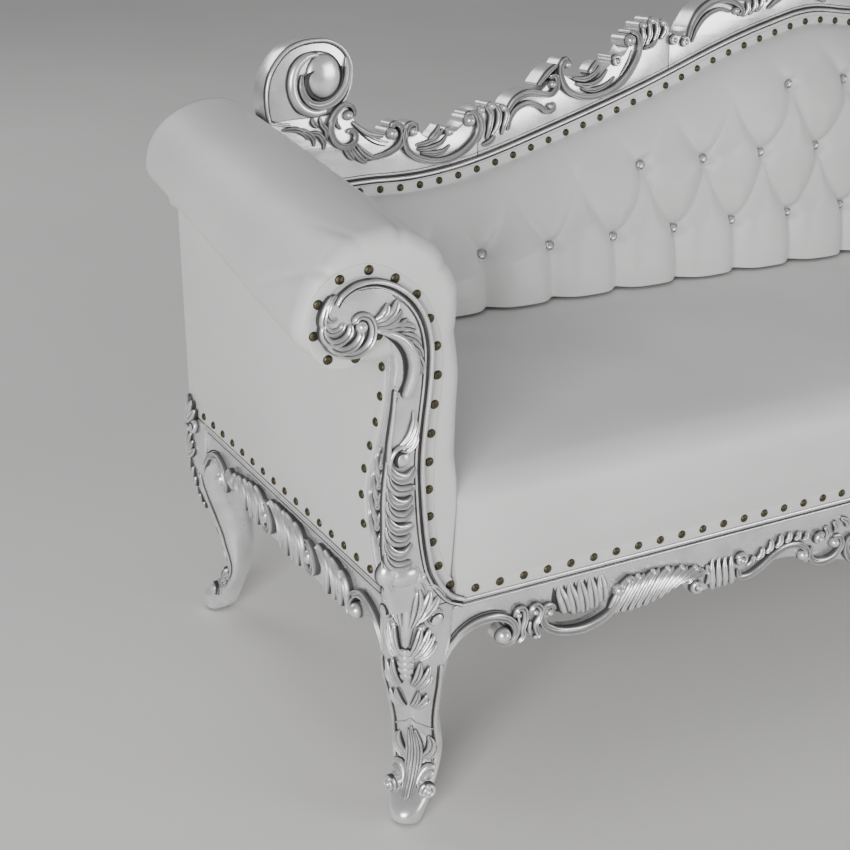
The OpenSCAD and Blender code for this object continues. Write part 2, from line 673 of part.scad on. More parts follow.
// Seat: the section is swept from arm to arm and crowned
seat_low = rail_top + gap;
seat_d = frame_d - back_t - strap_t - tuft_puff;
seat_tuck = 60;
seat_drop = 28;
seat_steps = 18;
seat_end = arm_wall + 5;
function seat_section(t) =
    let (c = 1 - pow(abs(2 * t - 1), 6), h = seat_h - 8 + 8 * c, b = seat_bulge * (0.5 + 0.5 * c),
        back = seat_d + seat_tuck)
    [[-band_out, seat_low], [-band_out, nail_z + trim_w / 2], [-b * 0.7, seat_low + 34],
        [-b, seat_low + 72], [-b * 0.9, h - 52], [-b * 0.2, h - 26], [16, h - 10],
        [42, h - 3], [100, h], [200, h], [300, h - 5], [380, h - 12], [440, h - 20],
        [seat_d, h - seat_drop], [back, h - seat_drop - 8], [back, seat_low]];
module seat_form() {
    secs = [for (i = [0:seat_steps]) let (t = i / seat_steps)
        [for (q = seat_section(t)) [lerp(seat_end, frame_l - seat_end, t), q[0], q[1]]]];
    m = len(secs[0]);
    polyhedron(points = [for (s = secs) each s],
        faces = concat([[for (k = [m - 1:-1:0]) k]],
            [[for (k = [0:m - 1]) m * seat_steps + (k + m - 1) % m]],
            [for (i = [0:seat_steps - 1], k = [0:m - 1]) each
                let (a = i * m + k, b = i * m + (k + 1) % m)
                [[a, b, a + m], [b, b + m, a + m]]]));
}
foam_in = 30;
band_out = 5;
module seat_core() {
    translate([seat_end + foam_in, rail_t + batten + 4, web_z + 2 * strap_t])
        cube([frame_l - 2 * seat_end - 2 * foam_in, seat_d - rail_t - batten - 4,
            seat_h - 56 - web_z]);
}
module seat_foam() { color([0.95, 0.9, 0.7]) seat_core(); }
module seat_cover() {
    color(leather) difference() {
        seat_form();
        seat_core();
    }
}

// Back cushion: a grid of heights with tufts, channels and diagonal pleats
back_high = crest_foot_v + head_rise + 10;
cell_x = tuft_pitch / 4;
cell_v = tuft_rise / 4;
tuft_x0 = 426;
grid_a = ceil((crest_end + 4 - tuft_x0) / cell_x);
grid_b = floor((frame_l - crest_end - 4 - tuft_x0) / cell_x);
grid_n = grid_b - grid_a;
grid_v0 = (seat_h - seat_drop + 2 - rail_top - (back_t + strap_t + tuft_puff) * sin(rake))
    / cos(rake);
row_v = grid_v0 + 77;
grid_m = 3 + ceil((back_high - row_v) / cell_v);
squeeze = 5;
flat_rim = 22;
function grid_x(i) = i == 0 ? crest_end + 2 : i == grid_n ? frame_l - crest_end - 2
    : tuft_x0 + (grid_a + i) * cell_x;
// Rows follow the tufts, and close up under the crest
function grid_v(i, j) = min(j == 0 ? grid_v0 : row_v + (j - 3) * cell_v,
    crest_v(grid_x(i)) - 1 - (j == grid_m ? 0 : flat_rim + (grid_m - 1 - j) * squeeze));
function row_shift(r) = r % 2 == 0 ? 0 : 0.5;
// Is there room for a tuft at this place, clear of the arms and the crest
function has_tuft(x, v) = x > 150 && x < frame_l - 150 && v < crest_v(x) - 82;
function column_off(x, r) = let (u = (x - tuft_x0) / tuft_pitch - row_shift(r)) u - round(u);
// Depth of the folds, from 0 between them to 1 at a tuft
function tuft_dip(x, v) =
    let (w = (v - row_v) / tuft_rise, r = floor(w), f = w - r,
        u = abs(column_off(x, max(r, 0))),
        fade = max(0, min(1, (crest_v(x) - v - 40) / 60)),
        fold = v < row_v ? 0.75 * exp(-pow(u / 0.1, 2))
            : 0.6 * exp(-pow((u - f * 0.5) / 0.1, 2)) * fade,
        near = norm([u, v < row_v ? w : f]), far = norm([0.5 - u, 1 - f]),
        spot = max(exp(-pow(near / 0.16, 2)), v < row_v ? 0 : exp(-pow(far / 0.16, 2)) * fade))
    min(1, max(fold, spot));
function back_height(x, v) =
    let (edge = crest_v(x) - v, side = min(x - crest_end, frame_l - crest_end - x),
        rim = min(1, max(0, (edge - flat_rim - 5) / 110)), ends = min(1, (side + 10) / 60),
        foot = min(1, (row_v + 60 - v) / 110))
    crest_skin + (tuft_puff - crest_skin - 12 + 12 * max(0, foot)) * sqrt(rim) * sqrt(ends)
        - tuft_depth * tuft_dip(x, v) * rim * ends;
core_in = 2;
module back_form() {
    w = grid_n + 1;
    top = [for (j = [0:grid_m], i = [0:grid_n])
        let (x = grid_x(i), v = grid_v(i, j)) [x, v, back_height(x, v)]];
    n = len(top);
    ring = concat([for (i = [0:grid_n]) i], [for (j = [1:grid_m]) j * w + grid_n],
        [for (i = [grid_n - 1:-1:0]) grid_m * w + i], [for (j = [grid_m - 1:-1:1]) j * w]);
    m = len(ring);
    polyhedron(points = concat(top, [for (k = ring) [top[k][0], top[k][1], 0]],
            [for (k = ring) [core_x(top[k][0]), core_v(top[k]), 0]],
            [for (k = ring) [core_x(top[k][0]), core_v(top[k]), foam_t]],
            [[mid_x, row_v, foam_t]]),
        faces = concat(
            [for (j = [0:grid_m - 1], i = [0:grid_n - 1]) each let (a = j * w + i)
                [[a + w, a + 1, a], [a + w, a + w + 1, a + 1]]],
            [for (k = [0:m - 1]) each let (k2 = (k + 1) % m)
                [[ring[k], ring[k2], n + k], [ring[k2], n + k2, n + k]]],
            [for (c = [0, m], k = [0:m - 1]) each let (k2 = (k + 1) % m, a = n + c)
                [[a + k, a + k2, a + m + k], [a + k2, a + m + k2, a + m + k]]],
            [for (k = [0:m - 1]) [n + 2 * m + k, n + 2 * m + (k + 1) % m, n + 3 * m]]));
}
// The foam slab lies in a recess behind the padded cover
foam_t = 16;
foam_edge = 70;
function core_x(x) = lerp(foam_edge + crest_end, frame_l - crest_end - foam_edge,
    (x - crest_end - 2) / (frame_l - 2 * crest_end - 4));
function core_v(p) = p[1] <= grid_v0 ? grid_v0 + 8
    : lerp(grid_v0 + 8, crest_v(core_x(p[0])) - 60, (p[1] - grid_v0)
        / (crest_v(p[0]) - 1 - grid_v0));
module back_core() {
    on_back(back_t + strap_t) linear_extrude(height = foam_t - gap) polygon(concat(
        [[crest_end + foam_edge + core_in, grid_v0 + 8 + core_in]],
        [for (q = between(crest_line, crest_end + foam_edge + core_in,
            frame_l - crest_end - foam_edge - core_in)) [q[0], q[1] - 64]],
        [[frame_l - crest_end - foam_edge - core_in, grid_v0 + 8 + core_in]]));
}
module back_foam() { color([0.95, 0.9, 0.7]) back_core(); }
module tufted_back() { color(leather) on_back(back_t + strap_t) back_form(); }

// Tuft buttons: each is drawn down into its tuft by a tapering shank
shank = 8;
setting_t = 3;
buttons = [for (r = [0:rows - 1], i = [0:12])
    let (x = tuft_x0 + (i - 3 + row_shift(r)) * tuft_pitch, v = row_v + r * tuft_rise)
    if (has_tuft(x, v)) [x, v]];
module button_settings() {
    color(silver) on_back(back_t + strap_t) for (b = buttons)
        translate([b[0], b[1], back_height(b[0], b[1]) + gap]) {
            cylinder(h = shank, r1 = 0.5, r2 = button_r - 2.5);
            translate([0, 0, shank]) cylinder(h = setting_t, r = button_r);
        }
}
module button_crystals() {
    color([0.9, 0.95, 1.0]) on_back(back_t + strap_t) for (b = buttons)
        translate([b[0], b[1], back_height(b[0], b[1]) + gap + shank + setting_t])
            cylinder(h = 4, r1 = button_r - 1.5, r2 = button_r - 4);
}

// Trim bands and nails
nail_z = rail_top + 12;
nail_in = 84;
column_in = 13;
module nail() { cylinder(h = nail_h, r1 = nail_r, r2 = nail_r * 0.45); }
front_line = [[nail_in, nail_z], [frame_l - nail_in, nail_z]];
side_line = [[nail_in, nail_z], [frame_d - 22, nail_z]];
function post_line(rise) = smooth_line(lifted([[53, nail_z + 9], [40, 351],
    [24, 408], [18, 480], [19, 535], [23, 590], [19, 632], [-4, 684], [-52, 718], [-90, 717],
    [-115, 699], [-124, 673], [-119, 643], [-96, 626], [-71, 630], [-50, 649]], rise), 4);
function column_line(rise) = smooth_line([for (q = post_edge(3, rise))
    if (q[1] > 350 && q[1] < crease_z + rise - 24) [q[0] + column_in, q[1]]], 2);
module front_trim() {
    color(leather) front_view(0) translate([0, 0, band_out]) linear_extrude(height = trim_t)
        polygon(band([[seat_end + 4, nail_z], [frame_l - seat_end - 4, nail_z]], trim_w));
}
module front_nails() {
    color(bronze) front_view(0) translate([0, 0, band_out + trim_t])
        for (q = spaced(front_line, nail_pitch)) translate([q[0], q[1], 0]) nail();
}
module on_side(x) { translate([x, 0, 0]) rotate([90, 0, -90]) mirror([1, 0, 0]) children(); }
module side_trim_blank() {
    on_side(-cover_t) linear_extrude(height = trim_t) polygon(band(side_line, trim_w));
}
module side_nails_blank() {
    on_side(-cover_t - trim_t) for (q = spaced(side_line, nail_pitch))
        translate([q[0], q[1], 0]) nail();
}
module left_side_trim() { color(leather) side_trim_blank(); }
module right_side_trim() { color(leather) head_side() side_trim_blank(); }
module left_side_nails() { color(bronze) side_nails_blank(); }
module right_side_nails() { color(bronze) head_side() side_nails_blank(); }
module post_trim_blank(rise) {
    difference() {
        front_view(0) linear_extrude(height = trim_t) polygon(band(post_line(rise), trim_w));
        post_face(rise);
        scroll_head(rise);
    }
    on_side(-cover_t) linear_extrude(height = trim_t)
        polygon(band(column_line(rise), trim_w));
}
module post_nails_blank(rise) {
    front_view(-trim_t) for (q = spaced(post_line(rise), nail_pitch))
        translate([q[0], q[1], 0]) nail();
    on_side(-cover_t - trim_t) for (q = spaced(column_line(rise), nail_pitch))
        translate([q[0], q[1], 0]) nail();
}
module left_post_trim() { color(leather) post_trim_blank(0); }
module right_post_trim() { color(leather) head_side() post_trim_blank(head_rise); }
module left_post_nails() { color(bronze) post_nails_blank(0); }
module right_post_nails() { color(bronze) head_side() post_nails_blank(head_rise); }
nails_from = volute_x + volute_r;
// The nails keep closer to the crest at its low end
function nail_drop(x) = lerp(9, 12.5, max(0, min(1, (x - along(450)) / 250)));
crest_nail_line = [for (q = between(crest_line, nails_from, frame_l - nails_from))
    [q[0], q[1] - nail_drop(q[0])]];
module crest_trim() {
    color(leather) on_back(back_t + strap_t + crest_skin) linear_extrude(height = trim_t)
        polygon(band(crest_nail_line, trim_w));
}
module crest_nails() {
    color(bronze) on_back(back_t + strap_t + crest_skin + trim_t)
        for (q = spaced(crest_nail_line, nail_pitch)) translate([q[0], q[1], 0]) nail();
}

module placed() { translate([-mid_x, -mid_y, 0]) children(); }
placed() front_left_leg();
placed() front_right_leg();
placed() rear_left_leg();
placed() rear_right_leg();
placed() floor_glides();
placed() leg_bolts();
placed() leg_nuts();
placed() rail_dowels();
placed() front_rail();
placed() left_side_rail();
placed() right_side_rail();
placed() back_rail();
placed() corner_blocks();
placed() seat_cross_bars();
placed() webbing_battens();
placed() webbing_long();
placed() webbing_cross();
placed() dust_cover();
placed() left_arm_post();
placed() right_arm_post();
placed() left_arm_frame();
placed() right_arm_frame();
placed() left_arm_pad();
placed() right_arm_pad();
placed() left_outside_panel();
placed() right_outside_panel();
placed() left_back_post();
placed() right_back_post();
placed() back_uprights();
placed() back_lower_rail();
placed() crest_rail_foot();
placed() crest_rail_middle();
placed() crest_rail_head();
placed() crest_volute_foot();
placed() crest_volute_head();
placed() crest_dowels();
placed() seat_foam();
placed() seat_cover();
placed() back_foam();
placed() tufted_back();
placed() outside_back_panel();
placed() back_webbing();
placed() front_trim();
placed() left_side_trim();
placed() right_side_trim();
placed() left_post_trim();
placed() right_post_trim();
placed() crest_trim();
placed() front_nails();
placed() left_side_nails();
placed() right_side_nails();
placed() left_post_nails();
placed() right_post_nails();
placed() crest_nails();
placed() button_settings();
placed() button_crystals();
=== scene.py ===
import json
from math import cos, hypot, pi, radians, sin, sqrt, tan

import bmesh
import bpy
import numpy as np
from mathutils import Matrix, Vector, noise


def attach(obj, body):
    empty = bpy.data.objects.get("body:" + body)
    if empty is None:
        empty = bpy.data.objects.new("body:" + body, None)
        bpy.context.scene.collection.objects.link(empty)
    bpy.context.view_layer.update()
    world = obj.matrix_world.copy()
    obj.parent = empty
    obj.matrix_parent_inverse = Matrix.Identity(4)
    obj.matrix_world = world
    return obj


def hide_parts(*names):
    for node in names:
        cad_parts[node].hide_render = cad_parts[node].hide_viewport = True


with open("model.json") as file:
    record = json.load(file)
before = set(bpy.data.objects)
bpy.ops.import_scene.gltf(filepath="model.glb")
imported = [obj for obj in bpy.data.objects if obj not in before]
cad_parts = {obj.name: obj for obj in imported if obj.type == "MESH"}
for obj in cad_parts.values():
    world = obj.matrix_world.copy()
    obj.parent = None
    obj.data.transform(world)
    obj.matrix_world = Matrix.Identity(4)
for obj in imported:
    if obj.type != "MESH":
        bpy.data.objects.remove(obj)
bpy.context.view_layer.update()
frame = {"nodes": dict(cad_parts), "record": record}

# The drawing frame: millimetres, the foot-end corner at x = 0, the front plane at y = 0
LENGTH, DEPTH, RAIL_TOP = 1460.0, 622.0, 312.0
MID_X, MID_Y = LENGTH / 2, 336.428
RAKE = radians(6)
HEAD_RISE = 190.0
BACK_T, STRAP_T = 40.0, 1.5
ARM_WALL, ROLL_R, ROLL_OUT, SCROLL_Z, CREASE_Z = 55.0, 97.0, 45.0, 660.0, 618.0
SEAT_H, SEAT_BULGE, SEAT_DROP = 466.0, 14.0, 28.0
PUFF, TUFT_DEPTH, PITCH, RISE = 90.0, 28.0, 117.0, 102.0
NAIL_PITCH, NAIL_R, NAIL_H, TRIM_W, TRIM_T = 33.0, 5.5, 3.4, 14.0, 1.2
SHAFT_LOW, SHAFT_HIGH = 380.0, 590.0


def lerp(a, b, t):
    return a + (b - a) * t


def smooth(points, n=6):
    """A Catmull-Rom line through the points."""
    p = np.array(points, float)
    out = []
    for i in range(len(p) - 1):
        a, b, c, d = p[max(i - 1, 0)], p[i], p[i + 1], p[min(i + 2, len(p) - 1)]
        for k in range(n):
            t = k / n
            out.append(0.5 * (2 * b + (c - a) * t + (2 * a - 5 * b + 4 * c - d) * t * t
                              + (3 * b - a - 3 * c + d) * t ** 3))
    out.append(p[-1])
    return np.array(out)


def lengths(path):
    return np.r_[0, np.cumsum(np.linalg.norm(np.diff(path, axis=0), axis=1))]


def at(path, s):
    """Points of a line at the distances s."""
    total = lengths(path)
    return np.stack([np.interp(s, total, path[:, k]) for k in range(path.shape[1])], -1)


def spaced(path, pitch):
    path = smooth(path, 8) if len(path) > 2 else np.array(path, float)
    total = lengths(path)[-1]
    n = round(total / pitch)
    return at(path, np.linspace(0, total, n + 1))


def lift(z, rise):
    """Heights above the foot of a post's shaft rise with the taller arm."""
    z = np.asarray(z, float)
    return z + rise * np.clip((z - SHAFT_LOW) / (SHAFT_HIGH - SHAFT_LOW), 0, 1)


def unlifted(z, rise):
    """The height on the shorter arm that lift raises to z, up to the top of the shaft."""
    if z < SHAFT_LOW:
        return z
    return SHAFT_LOW + (z - SHAFT_LOW) * (SHAFT_HIGH - SHAFT_LOW) / (SHAFT_HIGH - SHAFT_LOW + rise)


# Places: functions from two drawing coordinates and a height above the surface to the frame
def on_front(u, v, d):
    return np.stack([u, -d, v], -1)


def on_side(u, v, d):
    return np.stack([-d, u, v], -1)


def on_crest(u, v, d):
    """The crest's front face, leaned back."""
    d = d + BACK_T
    return np.stack([u, DEPTH + v * sin(RAKE) - d * cos(RAKE),
                     RAIL_TOP + v * cos(RAKE) + d * sin(RAKE)], -1)


def on_back(u, v, d):
    return np.stack([u, DEPTH + v * sin(RAKE) + d * cos(RAKE),
                     RAIL_TOP + v * cos(RAKE) - d * sin(RAKE)], -1)


def at_foot(place):
    """The foot end, as everything is drawn."""
    return place


def mirror(axis, size):
    """Turns a place into the same one at the other end of the axis."""
    def across(place):
        def other(u, v, d):
            p = place(u, v, d)
            p[..., axis] = size - p[..., axis]
            return p
        return other
    return across


at_head, at_rear = mirror(0, LENGTH), mirror(1, DEPTH)


def raised(place, rise, always=False):
    """The same drawing on the taller arm, or with always on the raised end of the crest."""
    def other(u, v, d):
        return place(u, np.asarray(v) + rise if always else lift(v, rise), d)
    return other


def shifted(place, du, dv, flip=1):
    def other(u, v, d):
        return place(np.asarray(u) * flip + du, np.asarray(v) + dv, d)
    return other


class Shell:
    """Collects surfaces for one piece, with how dark each point is: mostly patina, and painted
    shade where dark strokes stand in for shadowed hollows.
    """

    def __init__(self):
        self.verts, self.dark, self.faces, self.count = [], [], [], 0

    def add(self, verts, faces, dark=0.0):
        self.faces += [tuple(self.count + k for k in f) for f in faces]
        self.verts.append(np.asarray(verts, float).reshape(-1, 3))
        n = len(self.verts[-1])
        self.dark.append(np.full(n, dark) if np.ndim(dark) == 0 else np.ravel(dark))
        self.count += n

    def grid(self, pts, wrap_v=False, caps=False, dark=0.0):
        n, m = pts.shape[:2]
        faces = [(i * m + j, i * m + (j + 1) % m, (i + 1) * m + (j + 1) % m, (i + 1) * m + j)
                 for i in range(n - 1) for j in range(m if wrap_v else m - 1)]
        if caps:
            faces += [tuple(range(m)), tuple((n - 1) * m + j for j in reversed(range(m)))]
        self.add(pts, faces, np.broadcast_to(dark, (n, m)))

    def slab(self, front, rear):
        """Two grids of the same size, closed along their edges."""
        n, m = front.shape[:2]
        edge = [(0, j) for j in range(m)] + [(i, m - 1) for i in range(1, n)]
        edge += [(n - 1, j) for j in range(m - 2, -1, -1)] + [(i, 0) for i in range(n - 2, 0, -1)]
        self.grid(front)
        self.grid(rear)
        self.grid(np.array([[front[e] for e in edge], [rear[e] for e in edge]]), wrap_v=True)

    def piece(self, name, material, slot, *nodes, sharp=40):
        verts = np.concatenate(self.verts)
        verts = (verts - (MID_X, MID_Y, 0)) / 1000
        mesh = bpy.data.meshes.new(name)
        mesh.from_pydata(verts.tolist(), [], self.faces)
        # The patina attribute holds patina, and also painted shade from the dark strokes between
        # the gadroons
        layer = mesh.attributes.new("patina", "FLOAT", "POINT")
        layer.data.foreach_set("value", np.concatenate(self.dark).astype(np.float32))
        bm = bmesh.new()
        bm.from_mesh(mesh)
        bmesh.ops.remove_doubles(bm, verts=bm.verts, dist=2e-6)
        bmesh.ops.dissolve_degenerate(bm, edges=bm.edges, dist=1e-6)
        bmesh.ops.recalc_face_normals(bm, faces=bm.faces)
        bm.to_mesh(mesh)
        bm.free()
        mesh.shade_smooth()
        if sharp:
            mesh.set_sharp_from_angle(angle=radians(sharp))
        obj = bpy.data.objects.new(name, mesh)
        bpy.context.scene.collection.objects.link(obj)
        obj.data.materials.append(material)
        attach(obj, "root")
        if nodes:
            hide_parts(*nodes)
        return obj


# Cross-sections of a carved stroke from its edge to its middle: place, share of the height, patina;
# the line kind also carries painted shade where it stands in for a shadowed hollow
HALVES = {
    "dome": [(1, 0, 1), (.95, .36, 1), (.82, .64, .5), (.55, .87, 0), (.2, .99, 0)],
    "scroll": [(1, 0, 1), (.95, .6, .9), (.84, .95, 0), (.68, .99, 0), (.5, .72, .6),
               (.28, .5, .6), (0, .44, .2)],
    "leaf": [(1, 0, 1), (.94, .46, 1), (.7, .82, .3), (.38, .98, 0), (.13, .84, .5),
             (0, .6, 1)],
    "flat": [(1, 0, 0), (.97, .55, 0), (.88, .9, 0), (.7, 1, 0), (0, 1, 0)],
    "line": [(1, 0, 1), (.6, 1, 1)],
}
PROFILES = {kind: [(-q, h, d) for q, h, d in half] + [(q, h, d) for q, h, d in half[::-1] if q]
            for kind, half in HALVES.items()}
# A part that sinks deeper than DEEP stands free at its foot, and its wall is bright up to WALL
DEEP, WALL = 6.0, 3.0


def beside(points, gap):
    """A line moved to its left by the gap."""
    path = smooth(points, 6)
    t = np.gradient(path, axis=0)
    t /= np.linalg.norm(t, axis=1)[:, None] + 1e-9
    return path + np.stack([-t[:, 1], t[:, 0]], -1) * gap


def spiral(u, v, r0, r1, start, sweep, n=12):
    """Points of a spiral from radius r0 to r1, angles in degrees."""
    k = np.linspace(0, 1, n)
    a, r = np.radians(start + sweep * k), lerp(r0, r1, k ** 0.8)
    return list(zip(u + r * np.cos(a), v + r * np.sin(a)))


def along(path, n):
    """Evenly spaced points of a smooth line, from end to end."""
    path = smooth(path, 8)
    return [tuple(q) for q in at(path, np.linspace(0, 1, n) * lengths(path)[-1])]


class Carving:
    """Draws raised lines, leaves and bosses on one shell, through one place."""

    def __init__(self, shell, place):
        self.shell, self.place = shell, place

    def at(self, du, dv, flip=1):
        return Carving(self.shell, shifted(self.place, du, dv, flip))

    def stroke(self, points, width, height, kind="dome", base=0.0, sink=2.5, step=3.0,
               ends=(1, 1)):
        """A raised line; half its width and its height are given along its length."""
        path = smooth(points, 8) if len(points) > 2 else np.array(points, float)
        total = lengths(path)[-1]
        width, height = (np.atleast_1d(x).astype(float) for x in (width, height))
        s = list(np.linspace(0, total, max(4, int(total / step))))
        reach = [min(width[k] * 1.3 * ends[k], total * 0.45) for k in (0, -1)]
        for a in np.radians([0, 25, 45, 62, 78]):
            s += [reach[0] * (1 - sin(a)), total - reach[1] * (1 - sin(a))]
        s = np.unique(np.round(s, 3))
        p = at(path, s)
        w, h = (np.interp(s / total, np.linspace(0, 1, len(x)), x) for x in (width, height))
        # Both ends are rounded off
        for r, dist in ((reach[0], s), (reach[1], total - s)):
            if r > 0.01:
                f = np.sqrt(np.clip(1 - (1 - np.minimum(dist / r, 1)) ** 2, 0, 1))
                w, h = w * (0.04 + 0.96 * f), h * (0.3 + 0.7 * f)
        tangent = np.gradient(p, s, axis=0)
        tangent /= np.linalg.norm(tangent, axis=1)[:, None] + 1e-9
        normal = np.stack([-tangent[:, 1], tangent[:, 0]], -1)
        foot = [(base - sink, .1), (base - WALL, .1)] if sink > DEEP else [(base - sink, 1)]
        rows = [(-1, d, dark) for d, dark in foot]
        rows += [(q, base + h * share, dark) for q, share, dark in PROFILES[kind]]
        rows += [(1, d, dark) for d, dark in foot[::-1]]
        pts = []
        for q, d, _ in rows:
            across = p + normal * (w * q)[:, None]
            pts.append(self.place(across[:, 0], across[:, 1], d * np.ones(len(s))))
        self.shell.grid(np.stack(pts, 1), wrap_v=True, caps=True, dark=[r[2] for r in rows])

    def line(self, points, width=1.1, base=0.0, height=0.7):
        """A dark line, as patina lies in a fine groove."""
        self.stroke(points, (width * 0.5, width, width, width * 0.5), height, "line", base, 1.5)

    def lobe(self, root, tip, width, height, bend=0.16, base=0.0, sink=2.5):
        """One leaf lobe that bends to its left, widest past its middle."""
        (a, b), (c, d) = root, tip
        mids = [(lerp(a, c, t) - (d - b) * bend, lerp(b, d, t) + (c - a) * bend)
                for t in (.33, .7)]
        self.stroke([root] + mids + [tip], (width * .55, width * .9, width, width * .5),
                    (height * .5, height, height, height * .65), "leaf", base, sink, 2.5,
                    (0.4, 1.4))

    def leaves(self, lines, width, height, sink, step=2.5):
        for points in lines:
            self.stroke(points, width, height, "leaf", sink=sink, step=step)

    def fan(self, roots, tips, bend, width, height, sink=2.5):
        """Overlapping lobes from points on one line to points on another."""
        for i, ((a, b), (c, d)) in enumerate(zip(roots, tips)):
            side = bend * hypot(c - a, d - b)
            nx, ny = -(d - b), c - a
            k = hypot(nx, ny)
            mid = ((a + c) / 2 + nx / k * side, (b + d) / 2 + ny / k * side)
            self.stroke([(a, b), mid, (c, d)], (width * 0.7, width, width * 0.55),
                        (height * 0.6, height, height * 0.75), "leaf", 0.35 * (i % 2), sink, 2.5,
                        (0.4, 1.3))

    def flutes(self, r, n, open_deg, height=10, sink=12):
        """A fan of rounded flutes, as on a scallop."""
        for i in range(n):
            a = radians(90 + open_deg * (i / (n - 1) - 0.5))
            c, s = cos(a), sin(a)
            self.stroke([(c * r * 0.15, s * r * 0.15), (c * r * .6, s * r * .6), (c * r, s * r)],
                        (r * 0.05, r * 0.15, r * 0.19), (height * 0.5, height, height * 0.7),
                        sink=sink, ends=(0.5, 1.0))

    def ball(self, u, v, r, height, base=0.0, sink=2.5, seg=20, rings=7):
        """A domed boss, round or oval."""
        ru, rv = r if isinstance(r, tuple) else (r, r)
        a = np.linspace(0, 2 * pi, seg, endpoint=False)
        foot = [(base - sink, .1), (base - WALL, .1)] if sink > DEEP else [(base - sink, 1)]
        steps = [(0, d, dark) for d, dark in foot]
        steps += [(k / rings * pi / 2, base + height * sin(k / rings * pi / 2),
                   min(max(1.1 - 3.4 * k / rings, 0), 1)) for k in range(rings + 1)]
        rows = []
        for e, d, _ in steps:
            f = max(cos(e), 0.02)
            rows.append(self.place(u + ru * f * np.cos(a), v + rv * f * np.sin(a),
                                   np.full(seg, d)))
        dark = np.array([shade for _, _, shade in steps])
        self.shell.grid(np.array(rows), wrap_v=True, caps=True, dark=dark[:, None])

    def balls(self, *bosses, sink):
        for u, v, r, height in bosses:
            self.ball(u, v, r, height, sink=sink)

    def volute(self, u, v, r, start, sweep, height=7.0, width=None, base=0.0, sink=2.5):
        """A small scroll: a rib that winds in to a ball."""
        w = width or r * 0.3
        self.stroke(spiral(u, v, r - w * 0.6, r * 0.42, start, sweep), (w, w * 0.8),
                    (height, height * 0.9), "dome", base, sink, 2.0)
        self.ball(u, v, r * 0.44, height * 1.25, base, sink, 14, 5)

    def board(self, outline, back, face, bevel=2.0):
        """A flat board with rounded edges, cut to an outline."""
        curve = bpy.data.curves.new("outline", "CURVE")
        curve.dimensions, curve.fill_mode = "2D", "BOTH"
        loop = curve.splines.new("POLY")
        loop.points.add(len(outline) - 1)
        for p, q in zip(loop.points, outline):
            p.co = (q[0], q[1], 0, 1)
        loop.use_cyclic_u = True
        curve.bevel_depth, curve.bevel_resolution, curve.offset = bevel, 2, -bevel
        curve.extrude = (face - back) / 2 - bevel
        obj = bpy.data.objects.new("outline", curve)
        bpy.context.scene.collection.objects.link(obj)
        dg = bpy.context.evaluated_depsgraph_get()
        mesh = bpy.data.meshes.new_from_object(obj.evaluated_get(dg))
        co = np.array([v.co[:] for v in mesh.vertices])
        self.shell.add(self.place(co[:, 0], co[:, 1], co[:, 2] + (face + back) / 2),
                       [tuple(f.vertices) for f in mesh.polygons])
        bpy.data.objects.remove(obj)
        bpy.data.curves.remove(curve)
        bpy.data.meshes.remove(mesh)


# Materials
class Finish:
    def __init__(self, name, **sockets):
        self.mat = bpy.data.materials.new(name)
        self.mat.use_nodes = True
        self.tree = self.mat.node_tree
        self.tree.nodes.clear()
        out = self.add("OutputMaterial")
        self.shader = self.add("BsdfPrincipled", **sockets)
        self.tree.links.new(self.shader.outputs[0], out.inputs[0])
        self.place = self.add("TexCoord").outputs["Object"]

    def add(self, kind, props=None, **sockets):
        node = self.tree.nodes.new("ShaderNode" + kind)
        for key, value in (props or {}).items():
            setattr(node, key, value)
        for key, value in sockets.items():
            self.put(node.inputs[key.replace("_", " ")], value)
        return node

    def put(self, socket, value):
        if isinstance(value, bpy.types.NodeSocket):
            self.tree.links.new(value, socket)
        else:
            socket.default_value = value

    def set(self, **sockets):
        for key, value in sockets.items():
            self.put(self.shader.inputs[key.replace("_", " ")], value)

    def noise(self, scale, detail=3.0, rough=0.5, vector=None):
        return self.add("TexNoise", Scale=scale, Detail=detail, Roughness=rough,
                        Vector=vector or self.place).outputs["Fac"]

    def cells(self, scale):
        return self.add("TexVoronoi", {"feature": "F1"}, Scale=scale,
                        Vector=self.place).outputs["Distance"]

    def ramp(self, value, *stops):
        node = self.add("ValToRGB", Fac=value)
        band = node.color_ramp
        while len(band.elements) < len(stops):
            band.elements.new(0.5)
        for e, (pos, colour) in zip(band.elements, stops):
            e.position = pos
            e.color = (*colour, 1)
        return node.outputs["Color"]

    def mix(self, fac, a, colour):
        """From the socket a to a plain colour."""
        node = self.add("Mix", {"data_type": "RGBA", "blend_type": "MIX"})
        self.put(node.inputs[0], fac)
        self.put(node.inputs[6], a)
        self.put(node.inputs[7], (*colour, 1))
        return node.outputs[2]

    def math(self, kind, a, b=0.0):
        node = self.add("Math", {"operation": kind})
        self.put(node.inputs[0], a)
        self.put(node.inputs[1], b)
        return node.outputs[0]

    def span(self, value, low, high, to_low, to_high):
        node = self.add("MapRange", Value=value)
        for k, x in enumerate((low, high, to_low, to_high)):
            node.inputs[k + 1].default_value = x
        return node.outputs[0]

    def bump(self, *layers):
        """Layers of (height, strength, distance in metres)."""
        last = None
        for height, strength, distance in layers:
            node = self.add("Bump", Height=height, Strength=strength, Distance=distance)
            if last:
                self.put(node.inputs["Normal"], last)
            last = node.outputs[0]
        self.set(Normal=last)

    def stretched(self, x, y, z):
        return self.add("Mapping", Vector=self.place, Scale=(x, y, z)).outputs[0]


